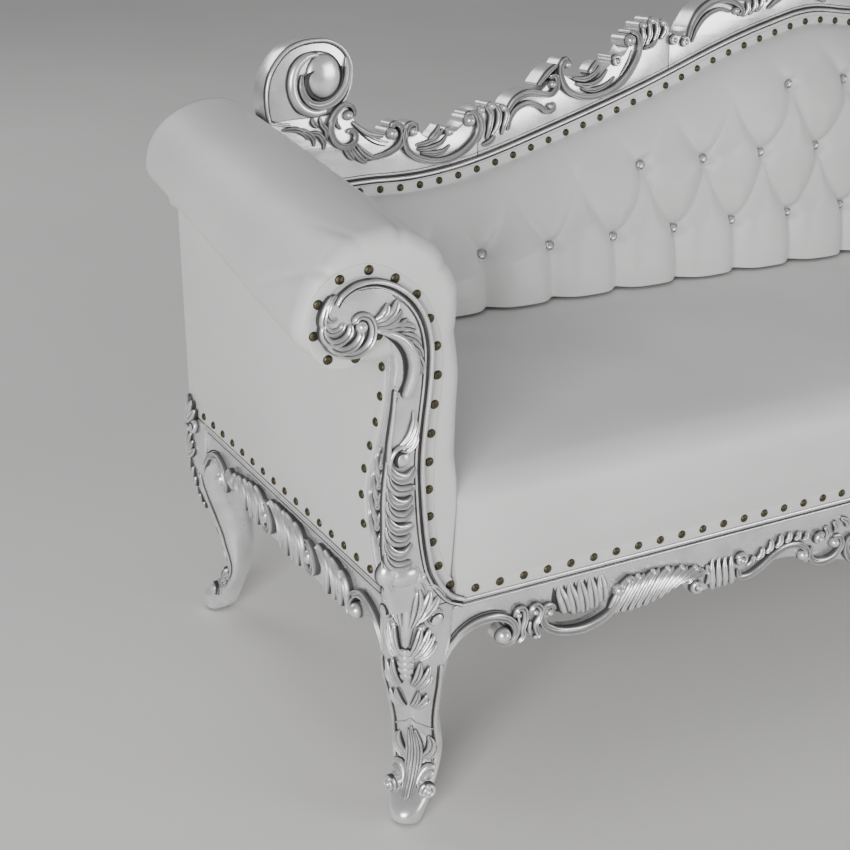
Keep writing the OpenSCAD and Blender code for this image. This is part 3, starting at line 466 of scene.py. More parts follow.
def silver_finish():
    """Silver leaf over carved wood, with dark patina left in the hollows, and painted shade from
    the drawn dark strokes between the gadroons.
    """
    f = Finish("silver_leaf")
    open_air = f.add("AmbientOcclusion", {"samples": 12, "only_local": False},
                     Distance=0.013).outputs["AO"]
    drawn = f.add("Attribute", {"attribute_name": "patina"}).outputs["Fac"]
    cloud = f.noise(26, 4, 0.55)
    fine = f.noise(380, 3, 0.6)
    leaf = f.ramp(cloud, (0.3, (0.76, 0.755, 0.755)), (0.55, (0.93, 0.93, 0.935)),
                  (0.8, (0.97, 0.97, 0.98)))
    leaf = f.mix(f.span(fine, 0.60, 0.80, 0, 0.10), leaf, (0.55, 0.53, 0.51))
    # dark: patina from the hollows and from the drawn attribute, which also holds painted shade
    # between the gadroons
    dark = f.math("MAXIMUM", f.span(open_air, 0.12, 0.66, 1, 0), f.math("MULTIPLY", drawn, 0.95))
    f.set(Base_Color=f.mix(dark, leaf, (0.010, 0.0098, 0.010)),
          Metallic=f.span(dark, 0, 1, 0.76, 0.2),
          Roughness=f.math("ADD", f.span(cloud, 0.25, 0.75, 0.17, 0.34),
                           f.math("MULTIPLY", dark, 0.25)))
    f.bump((cloud, 0.10, 0.0010), (fine, 0.04, 0.0002))
    return f.mat


def cover_finish(name, tint=1.0):
    """Smooth white cover with a soft satin face and a very fine grain."""
    f = Finish(name, Metallic=0.0)
    drift = f.noise(4.5, 3, 0.5)
    grain = f.cells(1500)
    soft = f.noise(28, 3, 0.5)
    a, b = 0.80 * tint, 0.735 * tint
    f.set(Base_Color=f.ramp(drift, (0.3, (b, b * 0.995, b * 0.985)), (0.7, (a, a, a * 0.992))),
          Roughness=f.span(soft, 0.3, 0.7, 0.36, 0.47), Sheen_Weight=0.08, Sheen_Roughness=0.5)
    f.bump((soft, 0.06, 0.002), (grain, 0.10, 0.0002))
    return f.mat


def bronze_finish():
    f = Finish("antique_bronze", Metallic=0.85)
    spots = f.noise(620, 4, 0.7)
    wide = f.noise(60, 2)
    colour = f.ramp(spots, (0.38, (0.02, 0.018, 0.014)), (0.54, (0.10, 0.095, 0.05)),
                    (0.70, (0.27, 0.26, 0.16)))
    f.set(Base_Color=f.mix(f.span(wide, 0.35, 0.65, 0, 0.6), colour, (0.10, 0.085, 0.06)),
          Roughness=f.span(spots, 0.3, 0.7, 0.55, 0.3))
    f.bump((spots, 0.4, 0.0006))
    return f.mat


def crystal_finish():
    f = Finish("clear_crystal", Metallic=0.0, IOR=1.5, Transmission_Weight=0.85)
    f.set(Base_Color=f.ramp(f.noise(900, 2), (0.4, (0.90, 0.92, 0.95)), (0.7, (0.99, 0.99, 1.0))),
          Roughness=f.span(f.noise(300, 2), 0.3, 0.7, 0.01, 0.06))
    return f.mat


def metal_finish(name, colour, rough):
    f = Finish(name, Metallic=1.0)
    n = f.noise(300, 3)
    dark = tuple(c * 0.8 for c in colour)
    f.set(Base_Color=f.ramp(n, (0.35, dark), (0.65, colour)),
          Roughness=f.span(n, 0.3, 0.7, rough, rough + 0.12))
    f.bump((f.noise(1200, 2), 0.15, 0.0001))
    return f.mat


def wood_finish():
    f = Finish("bare_beech", Metallic=0.0)
    grain = f.noise(60, 6, 0.65, f.stretched(0.12, 1.6, 1.6))
    pores = f.noise(900, 2, 0.5, f.stretched(0.08, 1, 1))
    colour = f.ramp(grain, (0.3, (0.50, 0.36, 0.21)), (0.55, (0.66, 0.50, 0.32)),
                    (0.75, (0.74, 0.60, 0.42)))
    f.set(Base_Color=f.mix(f.span(pores, 0.55, 0.7, 0, 0.4), colour, (0.36, 0.25, 0.14)),
          Roughness=f.span(grain, 0.3, 0.7, 0.5, 0.68))
    f.bump((pores, 0.25, 0.0004))
    return f.mat


def weave_finish(name, dark, light, size, rough=0.85):
    f = Finish(name, Metallic=0.0)
    waves = [f.add("TexWave", {"bands_direction": way, "wave_type": "BANDS"}, Scale=size,
                   Distortion=0.6, Detail=1.0, Vector=f.place).outputs["Fac"] for way in "XY"]
    cross = f.math("MULTIPLY", waves[0], waves[1])
    fuzz = f.noise(size * 0.6, 3)
    f.set(Base_Color=f.ramp(f.math("ADD", f.math("MULTIPLY", cross, 0.6),
                                   f.math("MULTIPLY", fuzz, 0.5)), (0.25, dark), (0.8, light)),
          Roughness=f.span(fuzz, 0.3, 0.7, rough - 0.1, rough), Sheen_Weight=0.2)
    f.bump((cross, 0.5, 0.0004))
    return f.mat


def foam_finish():
    f = Finish("cut_foam", Metallic=0.0)
    pores = f.cells(700)
    f.set(Base_Color=f.ramp(pores, (0.1, (0.62, 0.56, 0.36)), (0.6, (0.86, 0.80, 0.58))),
          Roughness=f.span(pores, 0, 1, 0.9, 0.75))
    f.bump((pores, 0.6, 0.0006))
    return f.mat


silver = silver_finish()
white = cover_finish("white_cover")
white_band = cover_finish("white_band", 1.01)
bronze = bronze_finish()
crystal = crystal_finish()
chrome = metal_finish("polished_setting", (0.72, 0.72, 0.73), 0.12)
steel = metal_finish("zinc_steel", (0.55, 0.55, 0.57), 0.35)
beech = wood_finish()
jute = weave_finish("jute_webbing", (0.20, 0.15, 0.09), (0.50, 0.42, 0.29), 700)
black_cloth = weave_finish("black_dust_cloth", (0.012, 0.012, 0.013), (0.05, 0.05, 0.052), 1200)
foam = foam_finish()
SLOTS = {"silver_carving": silver, "steel": steel, "bare_wood": beech, "webbing": jute,
         "dust_cloth": black_cloth, "white_cover": white, "white_trim": white_band,
         "foam": foam, "bronze_nails": bronze, "button_metal": chrome, "crystal": crystal}
for part in frame["record"]["subparts"]:
    obj = frame["nodes"][part["node"]]
    obj.data.materials.clear()
    obj.data.materials.append(SLOTS[part["material_slot"]])

# Legs
LEG_FOOT, LEG_TOP, LEAF_TOP = 4.0, RAIL_TOP, 330.0
COS_45 = 0.70710678
LEG_OUTER = smooth([(2, 312), (5, 285), (3, 255), (-4, 225), (-14, 195), (-28, 160), (-44, 125),
                    (-58, 100), (-64, 82), (-60, 64), (-45, 46), (-28, 33), (-15, 22), (-13, 12),
                    (-20, 4)])
LEG_INNER = smooth([(-52, 4), (-66, 14), (-74, 35), (-83, 62), (-90, 90), (-93, 125), (-90, 158),
                    (-84, 183), (-79, 205), (-80, 240), (-81, 312)])
LEG_HALF = smooth([(18, 4), (24, 25), (29, 55), (31, 85), (29, 110), (27, 135), (29, 160),
                   (33, 190), (39, 225), (42, 260), (42, 312)])


def leg_shape(z):
    outer = np.interp(z, LEG_OUTER[::-1, 1], LEG_OUTER[::-1, 0])
    inner = np.interp(z, LEG_INNER[:, 1], LEG_INNER[:, 0])
    half = np.interp(z, LEG_HALF[:, 1], LEG_HALF[:, 0])
    # 2 is an oval; less draws the section to a corner
    power = np.interp(z, [4, 60, 190, 250, 290, 312], [2.0, 2.0, 1.9, 1.35, 1.26, 1.18])
    return (outer + inner) / 2, (outer - inner) / 2, half, power


def leg_ring(z, deg, grow=0.0):
    """Points of the leg's section at height z: along its diagonal and across it."""
    mid, a, b, n = leg_shape(z)
    c, s = np.cos(np.radians(deg)), np.sin(np.radians(deg))
    q = mid + (a + grow) * np.sign(c) * np.abs(c) ** (2 / n)
    t = (b + grow) * np.sign(s) * np.abs(s) ** (2 / n)
    return q, t


def leg_frame(q, t, z):
    """From the leg's own axes to the frame, front foot-end leg."""
    return np.stack([-q * COS_45 + t * COS_45, -q * COS_45 - t * COS_45, z], -1)


ANGLES = np.linspace(0, 90, 46)
LEVELS = np.linspace(LEG_FOOT, LEG_TOP, 78)
# How far round the leg each angle lies, at each level
LEG_REACH = np.array([lengths(np.stack(leg_ring(z, ANGLES), -1)) for z in LEVELS])


def on_leg(u, v, d):
    """u millimetres round from the outward corner, at height v."""
    u, v, d = (np.asarray(x, float) for x in (u, v, d))
    u, v, d = np.broadcast_arrays(u, v, d)
    out = np.zeros(u.shape + (3,))
    for k in np.ndindex(u.shape):
        z = min(max(v[k], LEG_FOOT), LEAF_TOP)
        row = np.array([np.interp(min(z, LEG_TOP), LEVELS, LEG_REACH[:, j])
                        for j in range(0, 46, 3)])
        deg = np.interp(abs(u[k]), row, ANGLES[::3])
        q, t = leg_ring(min(z, LEG_TOP), deg * (1 if u[k] >= 0 else -1), d[k])
        out[k] = leg_frame(q, t, v[k])
    return out


def leg_carving(cut):
    """The carving of one half of a leg, from its outward corner round one side."""
    edge = [(44, 232), (42, 216), (40, 198), (36, 174), (32, 150), (29, 126), (27, 104), (26, 84),
            (25, 66)]
    cut.stroke(edge, (2.4, 3, 3, 2.6), (4, 5, 5, 4), base=-0.5)
    cut.line(beside(edge, -4.2), 0.8, 0, 0.8)
    # Acanthus clusters beside the tongue: lines of roots and of tips, number, width, rise
    for roots, tips, n, w, high in (
            ([(6, 294), (9, 296), (13, 300)], [(12, 342), (22, 339), (35, 327)], 3, 6.4, 3.2),
            ([(6, 256), (10, 251), (16, 248)], [(17, 294), (29, 287), (38, 268)], 4, 5, 1.2),
            ([(6, 210), (10, 205), (14, 203)], [(17, 245), (27, 239), (29, 222)], 3, 4.8, 1.2),
            ([(3, 172), (7, 169), (10, 168)], [(13, 199), (22, 194), (25, 182)], 3, 4, 1.2)):
        for i, (root, tip) in enumerate(zip(along(roots, n), along(tips, n))):
            cut.lobe(root, tip, w, w * 1.4, -0.05, high - 0.4 * i)
    cut.ball(34, 301, (9, 11), 10, base=2)
    cut.stroke(spiral(34, 301, 8, 2, 200, -400), (0.6, 1.3, 1.2, 0.6), 1, "line", 10, 4)
    cut.ball(18, 292, 5, 9)
    # Engraved line at the shank, ribs and leaves on the foot
    cut.stroke([(0, 147), (6, 139), (12, 135), (20, 128), (28, 122)], 1.2, 1.6)
    cut.lobe((5, 36), (4, 126), 4, 6, -0.02)
    cut.lobe((9, 74), (18, 112), 5.5, 7, -0.12)
    cut.lobe((14, 72), (24, 98), 4.5, 6, -0.12)
    for curl in ([(8, 46), (10, 58), (17, 65), (26, 62)], [(12, 44), (15, 54), (20, 58), (26, 54)]):
        cut.stroke(curl, (2, 4, 4.4, 2.4), (3, 5.5, 6, 3))


KNOB_TURN, KNOB_OUT, KNOB_SIDE, KNOB_Z = radians(38), -44, 22, 43


def on_knob(u, v, d):
    """The face of the small scroll on the foot, turned a little out from the diagonal."""
    c, s = cos(KNOB_TURN), sin(KNOB_TURN)
    u, v, d = np.broadcast_arrays(*(np.asarray(x, float) for x in (u, v, d)))
    return leg_frame(KNOB_OUT - s * u + c * d, KNOB_SIDE + c * u + s * d, KNOB_Z + v)


def other_side(place):
    """The same drawing mirrored across the leg's diagonal."""
    def other(u, v, d):
        p = place(u, v, d)
        return p[..., [1, 0, 2]]
    return other


def leg(name, node, turn):
    shell = Shell()
    zs = np.concatenate([np.linspace(LEG_FOOT, 60, 20), np.linspace(64, LEG_TOP, 50)])
    angles = np.linspace(0, 360, 72, endpoint=False)
    rows = []
    for z in zs:
        q, t = leg_ring(z, angles)
        rows.append(turn(leg_frame)(q, t, np.full(len(angles), z)))
    shell.grid(np.array(rows), wrap_v=True, caps=True)
    face = Carving(shell, turn(on_leg))
    for hand in (1, -1):
        leg_carving(face.at(0, 0, hand))
    # Smooth tongue down the corner, and the ribbed seed below it
    face.stroke([(0, 338), (0, 314), (0, 290), (0, 266)], (14, 12, 9, 5), (7, 7, 6, 4), step=5)
    face.ball(0, 243, (11.5, 24), 4)
    for dz in (-18, -9, 0, 9, 18):
        w = 10 * sqrt(1 - (dz / 25) ** 2)
        face.stroke([(-w, 243.5 + dz), (0, 242.5 + dz), (w, 243.5 + dz)], 6.2, 5, base=1.5,
                    step=2)
    # Rib down the foot, and a scroll on each side of it
    face.stroke([(0, 132), (0, 100), (0, 66), (0, 34)], (2, 3.4, 4, 3), (3, 6, 7, 5), "leaf")
    for knob in (on_knob, other_side(on_knob)):
        scroll = Carving(shell, turn(knob))
        scroll.ball(0, 0, 11, 5, sink=14)
        scroll.volute(0, 0, 11, 120, -440, 7, 3.4, base=1)
    shell.piece(name, silver, "silver_carving", node)


leg("carved_leg_front_left", "front_left_leg", at_foot)
leg("carved_leg_front_right", "front_right_leg", at_head)
leg("carved_leg_rear_left", "rear_left_leg", at_rear)
leg("carved_leg_rear_right", "rear_right_leg", lambda f: at_head(at_rear(f)))

# Front apron
HALF_FRONT = [(40, 226), (47, 236), (56, 250), (70, 264), (85, 273), (102, 277), (120, 273),
              (135, 262), (145, 250), (150, 238), (158, 234), (168, 238), (178, 234), (188, 240),
              (196, 252), (210, 260), (232, 257), (256, 257), (276, 261), (287, 252), (293, 238),
              (305, 234), (330, 235), (360, 243), (385, 252), (402, 251), (416, 240), (430, 228),
              (455, 231), (490, 231), (525, 240), (560, 244), (600, 238), (640, 226), (690, 210),
              (730, 203)]
HALF_SIDE = [(40, 226), (48, 240), (56, 254), (66, 266), (80, 274), (100, 279), (120, 269),
             (130, 248), (150, 245), (180, 241), (215, 237), (271, 237), (311, 240)]


def mirrored(half, mid):
    return list(half) + [(2 * mid - u, v) for u, v in reversed(half[:-1])]


def front_half(cut):
    """The carving of one half of the front apron."""
    # Arch rim from the leg to a ball
    arch = [(45, 224), (50, 238), (57, 250), (72, 266), (92, 275), (113, 276), (131, 270),
            (142, 260), (146, 246), (139, 236), (128, 236)]
    cut.stroke(arch, (2.6, 4, 4.6, 5, 4.8, 4.4), (4, 6, 8, 8, 7), "scroll", sink=14)
    cut.line(beside(arch[:7], 7), 1.2)
    cut.ball(129, 247, 10.5, 12, base=1, sink=14)
    # Two standing curls
    cut.stroke([(143, 266), (147, 277), (156, 276), (159, 263), (156, 249), (158, 239),
                (151, 231)], (2.6, 4, 4.4, 4.4, 4, 3), (5, 8, 8, 8, 5), "leaf", sink=14)
    cut.stroke([(150, 266), (151, 256), (150, 244), (146, 239)], (2, 3, 3, 2), (4, 6, 4), sink=14)
    cut.ball(149, 269, 4.6, 8)
    cut.stroke([(166, 263), (166, 272), (173, 277), (181, 270), (179, 260), (174, 251), (177, 241),
                (181, 234), (174, 231)], (2.4, 3.6, 4.2, 4.2, 3.8, 3.8, 2.8), (5, 8, 8, 8, 5),
               "leaf", sink=14)
    cut.stroke([(168, 256), (166, 246), (170, 237)], (2, 3, 2), (4, 6, 4), sink=14)
    cut.ball(173, 267, 4.6, 8)
    # C-scroll with gadroons over its dark opening, and painted shade in the hollows between the
    # gadroons
    cut.stroke([(201, 262), (197, 270), (188, 271), (182, 262), (184, 252), (191, 243), (212, 232),
                (243, 227), (272, 233), (288, 244), (293, 256)],
               (2.6, 4, 4.6, 4.8, 5, 5.2, 5.6, 5.6, 5.2, 4.6, 3.6), (5, 8, 9, 9, 9, 9, 8),
               "scroll", sink=9)
    cut.ball(193, 262, 5, 10, sink=12)
    cut.ball(295, 266, 8.5, 12, sink=8)
    for i, foot in enumerate((254, 249, 248, 250, 256)):
        x, y = 207 + 15 * i, 220 + 13 * i
        cut.stroke([(x, 293), (x + 2, 282), (lerp(x, y, .6), 268), (y, foot)], (3, 7, 9, 9.5, 8),
                   (0.6, 4, 8, 9, 8), "leaf", ends=(1, 0.6), sink=7.5)
        # Painted shade: a wide dark stripe beside each gadroon stands in for the shadow in the
        # hollow between the ribs
        cut.stroke([(x - 8, 292), (x - 6, 281), (x - 2, 268), (y - 7, foot + 3)], (0.5, 4.5, 6, 5),
                   0.8, "line", sink=1.5)
    # Acanthus sweep of long strands with hooked tips
    feet = along([(283, 235), (298, 233), (314, 231), (332, 232), (348, 234), (363, 238),
                  (379, 245), (392, 250), (404, 251)], 12)
    tips = along([(311, 281), (332, 279), (350, 281), (369, 279), (388, 276), (407, 271),
                  (424, 266), (432, 259)], 12)
    for i, (a, b) in enumerate(zip(feet, tips)):
        w = 5.6 - 0.1 * i
        cut.stroke([a, (lerp(a[0], b[0], .25) - 1, lerp(a[1], b[1], .38)),
                    (lerp(a[0], b[0], .62) - 1, lerp(a[1], b[1], .8)), b],
                   (w * 0.7, w, w, w * 0.6), (4, 8, 9, 6), "leaf", sink=10, ends=(0.6, 1.2),
                   base=0.5 * (i % 2))
        if i % 2:
            cut.ball(b[0] + 1, b[1] - 1, 3.4, 10)
    cut.volute(310, 277, 6.5, 200, -400, 10, 2.6)
    # Curl and four small flutes
    cut.volute(420, 240, 11, 100, 420, 9, 3.6, sink=12)
    cut.fan([(412, 262), (424, 264), (434, 266)], [(404, 248), (426, 251), (436, 238)], 0.15, 4.4,
            7, sink=9)
    for i in range(4):
        x = 443 + 10.5 * i
        cut.stroke([(x, 273 - i), (x - 1, 258), (x + 1, 242), (x + 4, 229)], (1.5, 4.4, 5.2, 4),
                   (1, 7, 9, 6), sink=12)
        cut.line([(x - 5, 270), (x - 5, 256), (x - 3, 244)], 1.8)
    # Beyond the picture: a scroll, a long C and the shell in the middle
    cut.volute(489, 262, 11, 160, -420, 9, 3.6)
    cut.stroke([(486, 248), (490, 237), (505, 236), (524, 244), (542, 256), (562, 264), (584, 262),
                (600, 252), (606, 240), (600, 232)], (3, 4.5, 5, 4.5, 3.5), (6, 8, 8.5, 8, 6),
               "scroll", sink=16)
    cut.ball(597, 243, 8, 11, sink=14)
    roots = along([(512, 262), (545, 280), (575, 282), (600, 276)], 7)
    tips = along([(500, 250), (535, 262), (570, 270), (594, 266)], 7)
    cut.fan(roots, tips, 0.2, 5.5, 7)
    cut.volute(622, 262, 10, 30, 420, 9, 3.4)
    cut.stroke([(612, 252), (610, 238), (622, 228), (640, 226), (656, 232), (664, 244), (660, 256),
                (650, 258)], (3, 4.5, 5, 4, 3), (6, 8, 9, 8, 6), "scroll", sink=16)
    cut.ball(651, 249, 7.5, 11, sink=14)
    cut.fan([(632, 276), (646, 280), (660, 282)], [(634, 256), (650, 264), (672, 266)], 0.2, 5, 7)


def apron_board(cut, half, mid):
    edge = smooth(mirrored(half, mid), 4)
    outline = [tuple(q) for q in edge] + [(2 * mid - 40, 311), (40, 311)]
    cut.board(outline, -28, 0, 2.2)
    # Bead under the nails and the cove below it
    ends = [(60, 309), (2 * mid - 60, 309)]
    cut.stroke(ends, 3.6, 4.6, ends=(0, 0), step=60)
    cut.line([(60, 303.5), (2 * mid - 60, 303.5)], 1.3)
    cut.stroke([(60, 300), (2 * mid - 60, 300)], 2, 1.4, ends=(0, 0), step=60)


shell = Shell()
front = Carving(shell, on_front)
apron_board(front, HALF_FRONT, MID_X)
front_half(front)
front_half(Carving(shell, at_head(on_front)))
front.at(MID_X, 238).flutes(46, 9, 190, 11)
for hand in (-1, 1):
    face = front.at(MID_X, 0, hand)
    face.stroke([(0, 205), (20, 206), (40, 214), (54, 228), (56, 244), (47, 252), (38, 246)],
                (4, 5, 5, 4, 3), (7, 9, 9, 8, 6), "scroll", sink=18)
    face.ball(43, 240, 7, 11)
front.ball(MID_X, 228, (15, 13), 15, base=2, sink=18)
shell.piece("carved_front_rail", silver, "silver_carving", "front_rail")


def side_arch(cut):
    arch = [(45, 224), (50, 240), (57, 254), (68, 268), (84, 277), (102, 281), (119, 273),
            (129, 258), (130, 245), (122, 241)]
    cut.stroke(arch, (2.6, 4, 4.6, 5, 4), (4, 6, 8, 8, 7), "scroll", sink=14)
    cut.line(beside(arch[:6], 7), 1.2)
    cut.ball(113, 254, 10, 12, base=1, sink=14)


def oval_eye(cut, u, v):
    """An oval scroll round a smooth boss."""
    ring = [(u + 17 * cos(a) + 5 * sin(a), v + 18 * sin(a)) for a in np.linspace(0.5, 6.6, 16)]
    cut.stroke(ring, (3, 4.4, 5, 4.4, 3), (7, 10, 11, 9, 6), "scroll", sink=10)
    cut.ball(u, v, (9, 11), 13)
    for turn_by in (0.3, 2.2):
        cut.line([(u + 11 * cos(a + turn_by), v + 13 * sin(a + turn_by))
                            for a in np.linspace(0, 1.5, 5)], 1.6, 0.4)


for name, node, turn in (("carved_left_rail", "left_side_rail", at_foot),
                         ("carved_right_rail", "right_side_rail", at_head)):
    shell = Shell()
    face = Carving(shell, turn(on_side))
    apron_board(face, HALF_SIDE, DEPTH / 2)
    side_arch(face)
    side_arch(Carving(shell, at_rear(face.place)))
    for high, low, n, w in (
            ([(162, 288), (190, 294), (216, 293)], [(136, 246), (160, 240), (190, 239)], 4, 10),
            ([(292, 293), (322, 294), (354, 291)], [(254, 241), (284, 236), (318, 238)], 5, 10),
            ([(400, 292), (440, 286), (486, 275)], [(374, 240), (420, 241), (466, 256)], 6, 10.5)):
        for i, (a, b) in enumerate(zip(along(high, n), along(low, n))):
            face.lobe(b, a, w * (1 if i % 2 else 0.75), 11, 0.3, 1.5 * (i % 2), sink=9)
            face.ball(a[0] - 2, a[1] - 3, 3.4, 9)
    oval_eye(face, 236, 266)
    oval_eye(face, 361, 265)
    shell.piece(name, silver, "silver_carving", node)

# Arm posts
POST = np.array([(312, 74, -22, 62), (320, 58, -26, 67), (330, 46, -29, 71), (346, 33, -34, 78),
                 (375, 23, -40, 89), (402, 15, -39, 95), (430, 11.5, -40, 95), (465, 8, -41, 84),
                 (503, 7, -39, 71), (541, 8, -35, 61), (580, 11, -31, 59), (612, 12, -30, 59)],
                float)


def post_at(z, k):
    return np.interp(z, POST[:, 0], POST[:, k])


def on_flank(u, v, d):
    """u from 0 at the front corner of the shaft to 1 at its rear bead."""
    x0, y1 = post_at(v, 2), post_at(v, 3)
    u, d = np.asarray(u, float) / 100, np.asarray(d, float)
    sag = 7 * np.sin(np.clip(u, 0, 1) * pi)
    x, y = lerp(x0, -2, u) + sag, lerp(-6, y1, u)
    nx, ny = -(y1 + 6), (-2 - x0)
    k = np.hypot(nx, ny)
    return np.stack([x + nx / k * d, y + ny / k * d, np.asarray(v, float) + 0 * x], -1)


def arm_post(name, node, turn, rise):
    shell = Shell()
    front, side, flank = (Carving(shell, turn(raised(f, rise)))
                          for f in (on_front, on_side, on_flank))
    straight = turn(lambda u, v, d: np.stack([u, d, v], -1))
    rows = []
    for z in np.linspace(316, 616, 50):
        xr, xl, yb = (post_at(z, k) for k in (1, 2, 3))
        ring = [(xr, 0), (xr, -5), (xr - 1.5, -7)]
        ring += [(lerp(xr - 3, xl + 4, t), -7 - 1.2 * sin(t * pi)) for t in np.linspace(0, 1, 7)]
        ring += [(xl + 1, -6.4)]
        ring += [(lerp(xl, -2, t) + 7 * sin(t * pi), lerp(-6, yb, t))
                 for t in np.linspace(0, 1, 11)]
        ring += [(12, yb), (12, 0)]
        ring = np.array(ring)
        zz = np.full(len(ring), float(lift(z, rise)))
        rows.append(straight(ring[:, 0], zz, ring[:, 1]))
    shell.grid(np.array(rows), wrap_v=True, caps=True)
    # The scroll head's board
    head = smooth([(12, 600), (11, 622), (7, 648), (-7, 673), (-27, 692), (-52, 704), (-76, 708),
                   (-98, 701), (-111, 686), (-116, 668), (-112, 651), (-98, 643), (-80, 640),
                   (-66, 646), (-60, 656), (-52, 659), (-42, 651), (-34, 634), (-31, 612),
                   (-31, 590), (0, 584)], 4)
    lifted = [(u, float(lift(v, rise))) for u, v in head]
    Carving(shell, turn(on_front)).board(lifted, 0, 7.4, 2)
    # Outer moulding: up the shaft, over the head and into the shell
    edge = [(70, 312), (53, 320), (40, 333), (30, 348), (22, 366), (15, 396), (10, 428), (6.5, 460),
            (4, 490), (4, 520), (6, 550), (8.5, 580), (9.5, 608), (8, 634), (1, 660), (-13, 682),
            (-33, 699), (-56, 708), (-78, 708), (-94, 700), (-102, 689)]
    front.stroke(beside(edge, -1.5), (3, 3, 3.2, 3, 3, 3, 2.4), 6, base=6)
    front.line(beside(edge, 3.2), 1.7, 7.2, 0.9)
    front.stroke(beside(edge[:-2], 6.2), (1.6, 1.6, 1.6, 1.2), 2.6, base=7)
    front.line(beside(edge[:-4], 8.4), 0.7, 7.6)
    # Front corner rib and the rear bead of the flank
    front.stroke([(-24, 345), (-33, 370), (-38, 400), (-39, 430), (-40, 465), (-38, 500),
                  (-36, 520), (-34, 541), (-30, 565), (-27, 578)], (2, 2.8, 3, 2.8, 1.6),
                 (3, 4, 4, 4, 2), base=6)
    rear = np.array([(post_at(z, 3) - 3, z)
                     for z in (330, 345, 365, 385, 405, 430, 460, 490, 520, 550, 580, 612)])
    side.stroke(rear, (2.4, 2.8, 2.4), (3, 3.6, 3), base=1)
    # Shell of nested folds at the scroll's outer end
    for pts, w, h, b in (
            ([(-101, 700), (-109, 692), (-112, 682), (-106, 675), (-99, 678)], 4.6, 6, 4),
            ([(-106, 700), (-114, 688), (-117, 674), (-109, 663), (-98, 664),
              (-93, 672)], 5, 7, 5),
            ([(-116, 676), (-117, 662), (-109, 652), (-97, 652), (-88, 659),
              (-86, 669)], 5.4, 8, 6),
            ([(-115, 662), (-108, 648), (-95, 642), (-82, 646), (-75, 656),
              (-77, 664)], 5.6, 9, 6),
            ([(-108, 648), (-93, 637), (-77, 637), (-65, 646), (-61, 660), (-66, 673),
              (-77, 676), (-84, 669)], 5.2, 9, 6)):
        front.stroke(pts, (w * 0.6, w, w, w * 0.8), (h * 0.5, h, h, h * 0.8), "leaf", base=b,
                     step=2)
    front.ball(-75, 665, 6.5, 8, base=10)
    # Acanthus from the eye: three lobes above it, three down the outside of the tongue
    for root, tip, w, bend in (
            ((-60, 668), (-44, 686), 5, -0.12), ((-60, 665), (-33, 688), 6, -0.14),
            ((-58, 662), (-27, 676), 5.6, -0.12), ((-56, 660), (-19, 665), 5.4, -0.1),
            ((-50, 657), (-10, 652), 6.2, 0.1), ((-36, 650), (-3, 633), 5, 0.12),
            ((-27, 642), (-1, 618), 4.8, 0.14), ((-18, 628), (-1, 600), 4.6, 0.16)):
        front.lobe(root, tip, w, w * 1.5, bend, 6.5)
    front.stroke([(-58, 659), (-43, 654), (-28, 645), (-17, 631), (-12, 615), (-13, 599),
                  (-17, 586), (-20, 576)], (3, 4.6, 5.6, 6.6, 7.4, 7.6, 7.6, 7),
                 (8, 11, 12, 13, 13, 12, 11, 9), base=6.5, ends=(0.6, 0.8))
    front.line([(-45, 650), (-33, 640), (-24, 627), (-20.5, 611), (-21.5, 596), (-27, 584)], 2.4,
               7.4, 1.2)
    # Neck: small leaves and a rib that runs down into the volute
    front.stroke([(-32, 588), (-33, 565), (-35, 545), (-37, 522), (-36, 500), (-30, 490)],
                 (1.8, 2.6, 3, 3, 2.4), (4, 5, 6, 5, 3), base=7)
    for root, tip in (((-24, 522), (-9, 562)), ((-21, 518), (-5, 549)), ((-16, 514), (-4, 535))):
        front.lobe(root, tip, 4, 6, -0.12, 7.2)
    front.stroke([(-33, 486), (-36, 500), (-33, 514), (-24, 522), (-12, 520), (-6, 512)],
                 (2, 2.6, 3, 3, 2.4, 1), (4, 6, 6, 6, 4), base=7)
    front.ball(-20, 507, 10.5, 8, base=7, seg=28)
    front.stroke([(-27, 499), (-29, 508), (-25, 515), (-17, 514)], (0.5, 1.5, 1.7, 0.5), 1.2,
                 "line", 12, 3, step=2)
    # Leaf chain on the front of the shaft
    n = round(8 + rise / 26)
    for i in range(n):
        top = float(np.interp(i / (n - 1), [0, 1], [499, 392]))
        w = 7.2 if i % 2 else 6.4
        hook = (5, -3, 2)[i % 3]
        pts = [(-37, top + 9), (-35, top - 2), (-27, top - 11), (-15, top - 13),
               (-4 + 2 * sin(i * 2.1), top - 9 + hook)]
        front.stroke(pts, (w * .3, w * .7, w, w * .95, w * .45), (4, 8, 10, 10, 6),
                     "leaf" if i % 2 else "scroll", base=6.6, step=2.5, ends=(0.6, 1.4))
    # Cups of leaves down the flank
    m = round(4 + rise / 48)
    for i in range(m):
        top = lerp(480, 402, i / (m - 1))
        flank.stroke([(18, top + 9), (22, top - 5), (50, top - 13), (78, top - 5), (82, top + 9)],
                     (3, 5, 6, 5, 3), (4, 8, 9, 8, 4), "scroll", step=4)
        flank.stroke([(34, top + 8), (50, top - 3), (66, top + 8)], (2.5, 4.5, 2.5), (4, 7, 4),
                     "leaf", step=4)
    # Knuckle at the foot of the shaft
    front.ball(-10, 362, (22, 15), 13, base=3, seg=28)
    front.ball(-30, 368, (14, 16), 12, base=1, seg=24)
    front.ball(10, 356, (8, 7), 8, base=5)
    front.lobe((6, 354), (17, 328), 4.5, 6, 0.1, 4)
    front.lobe((17, 346), (44, 318), 4.2, 5, 0.1, 5)
    front.lobe((-2, 350), (6, 324), 4.5, 6, 0.1, 4)
    shell.piece(name, silver, "silver_carving", node)


arm_post("carved_left_post", "left_arm_post", at_foot, 0)
arm_post("carved_right_post", "right_arm_post", at_head, HEAD_RISE)

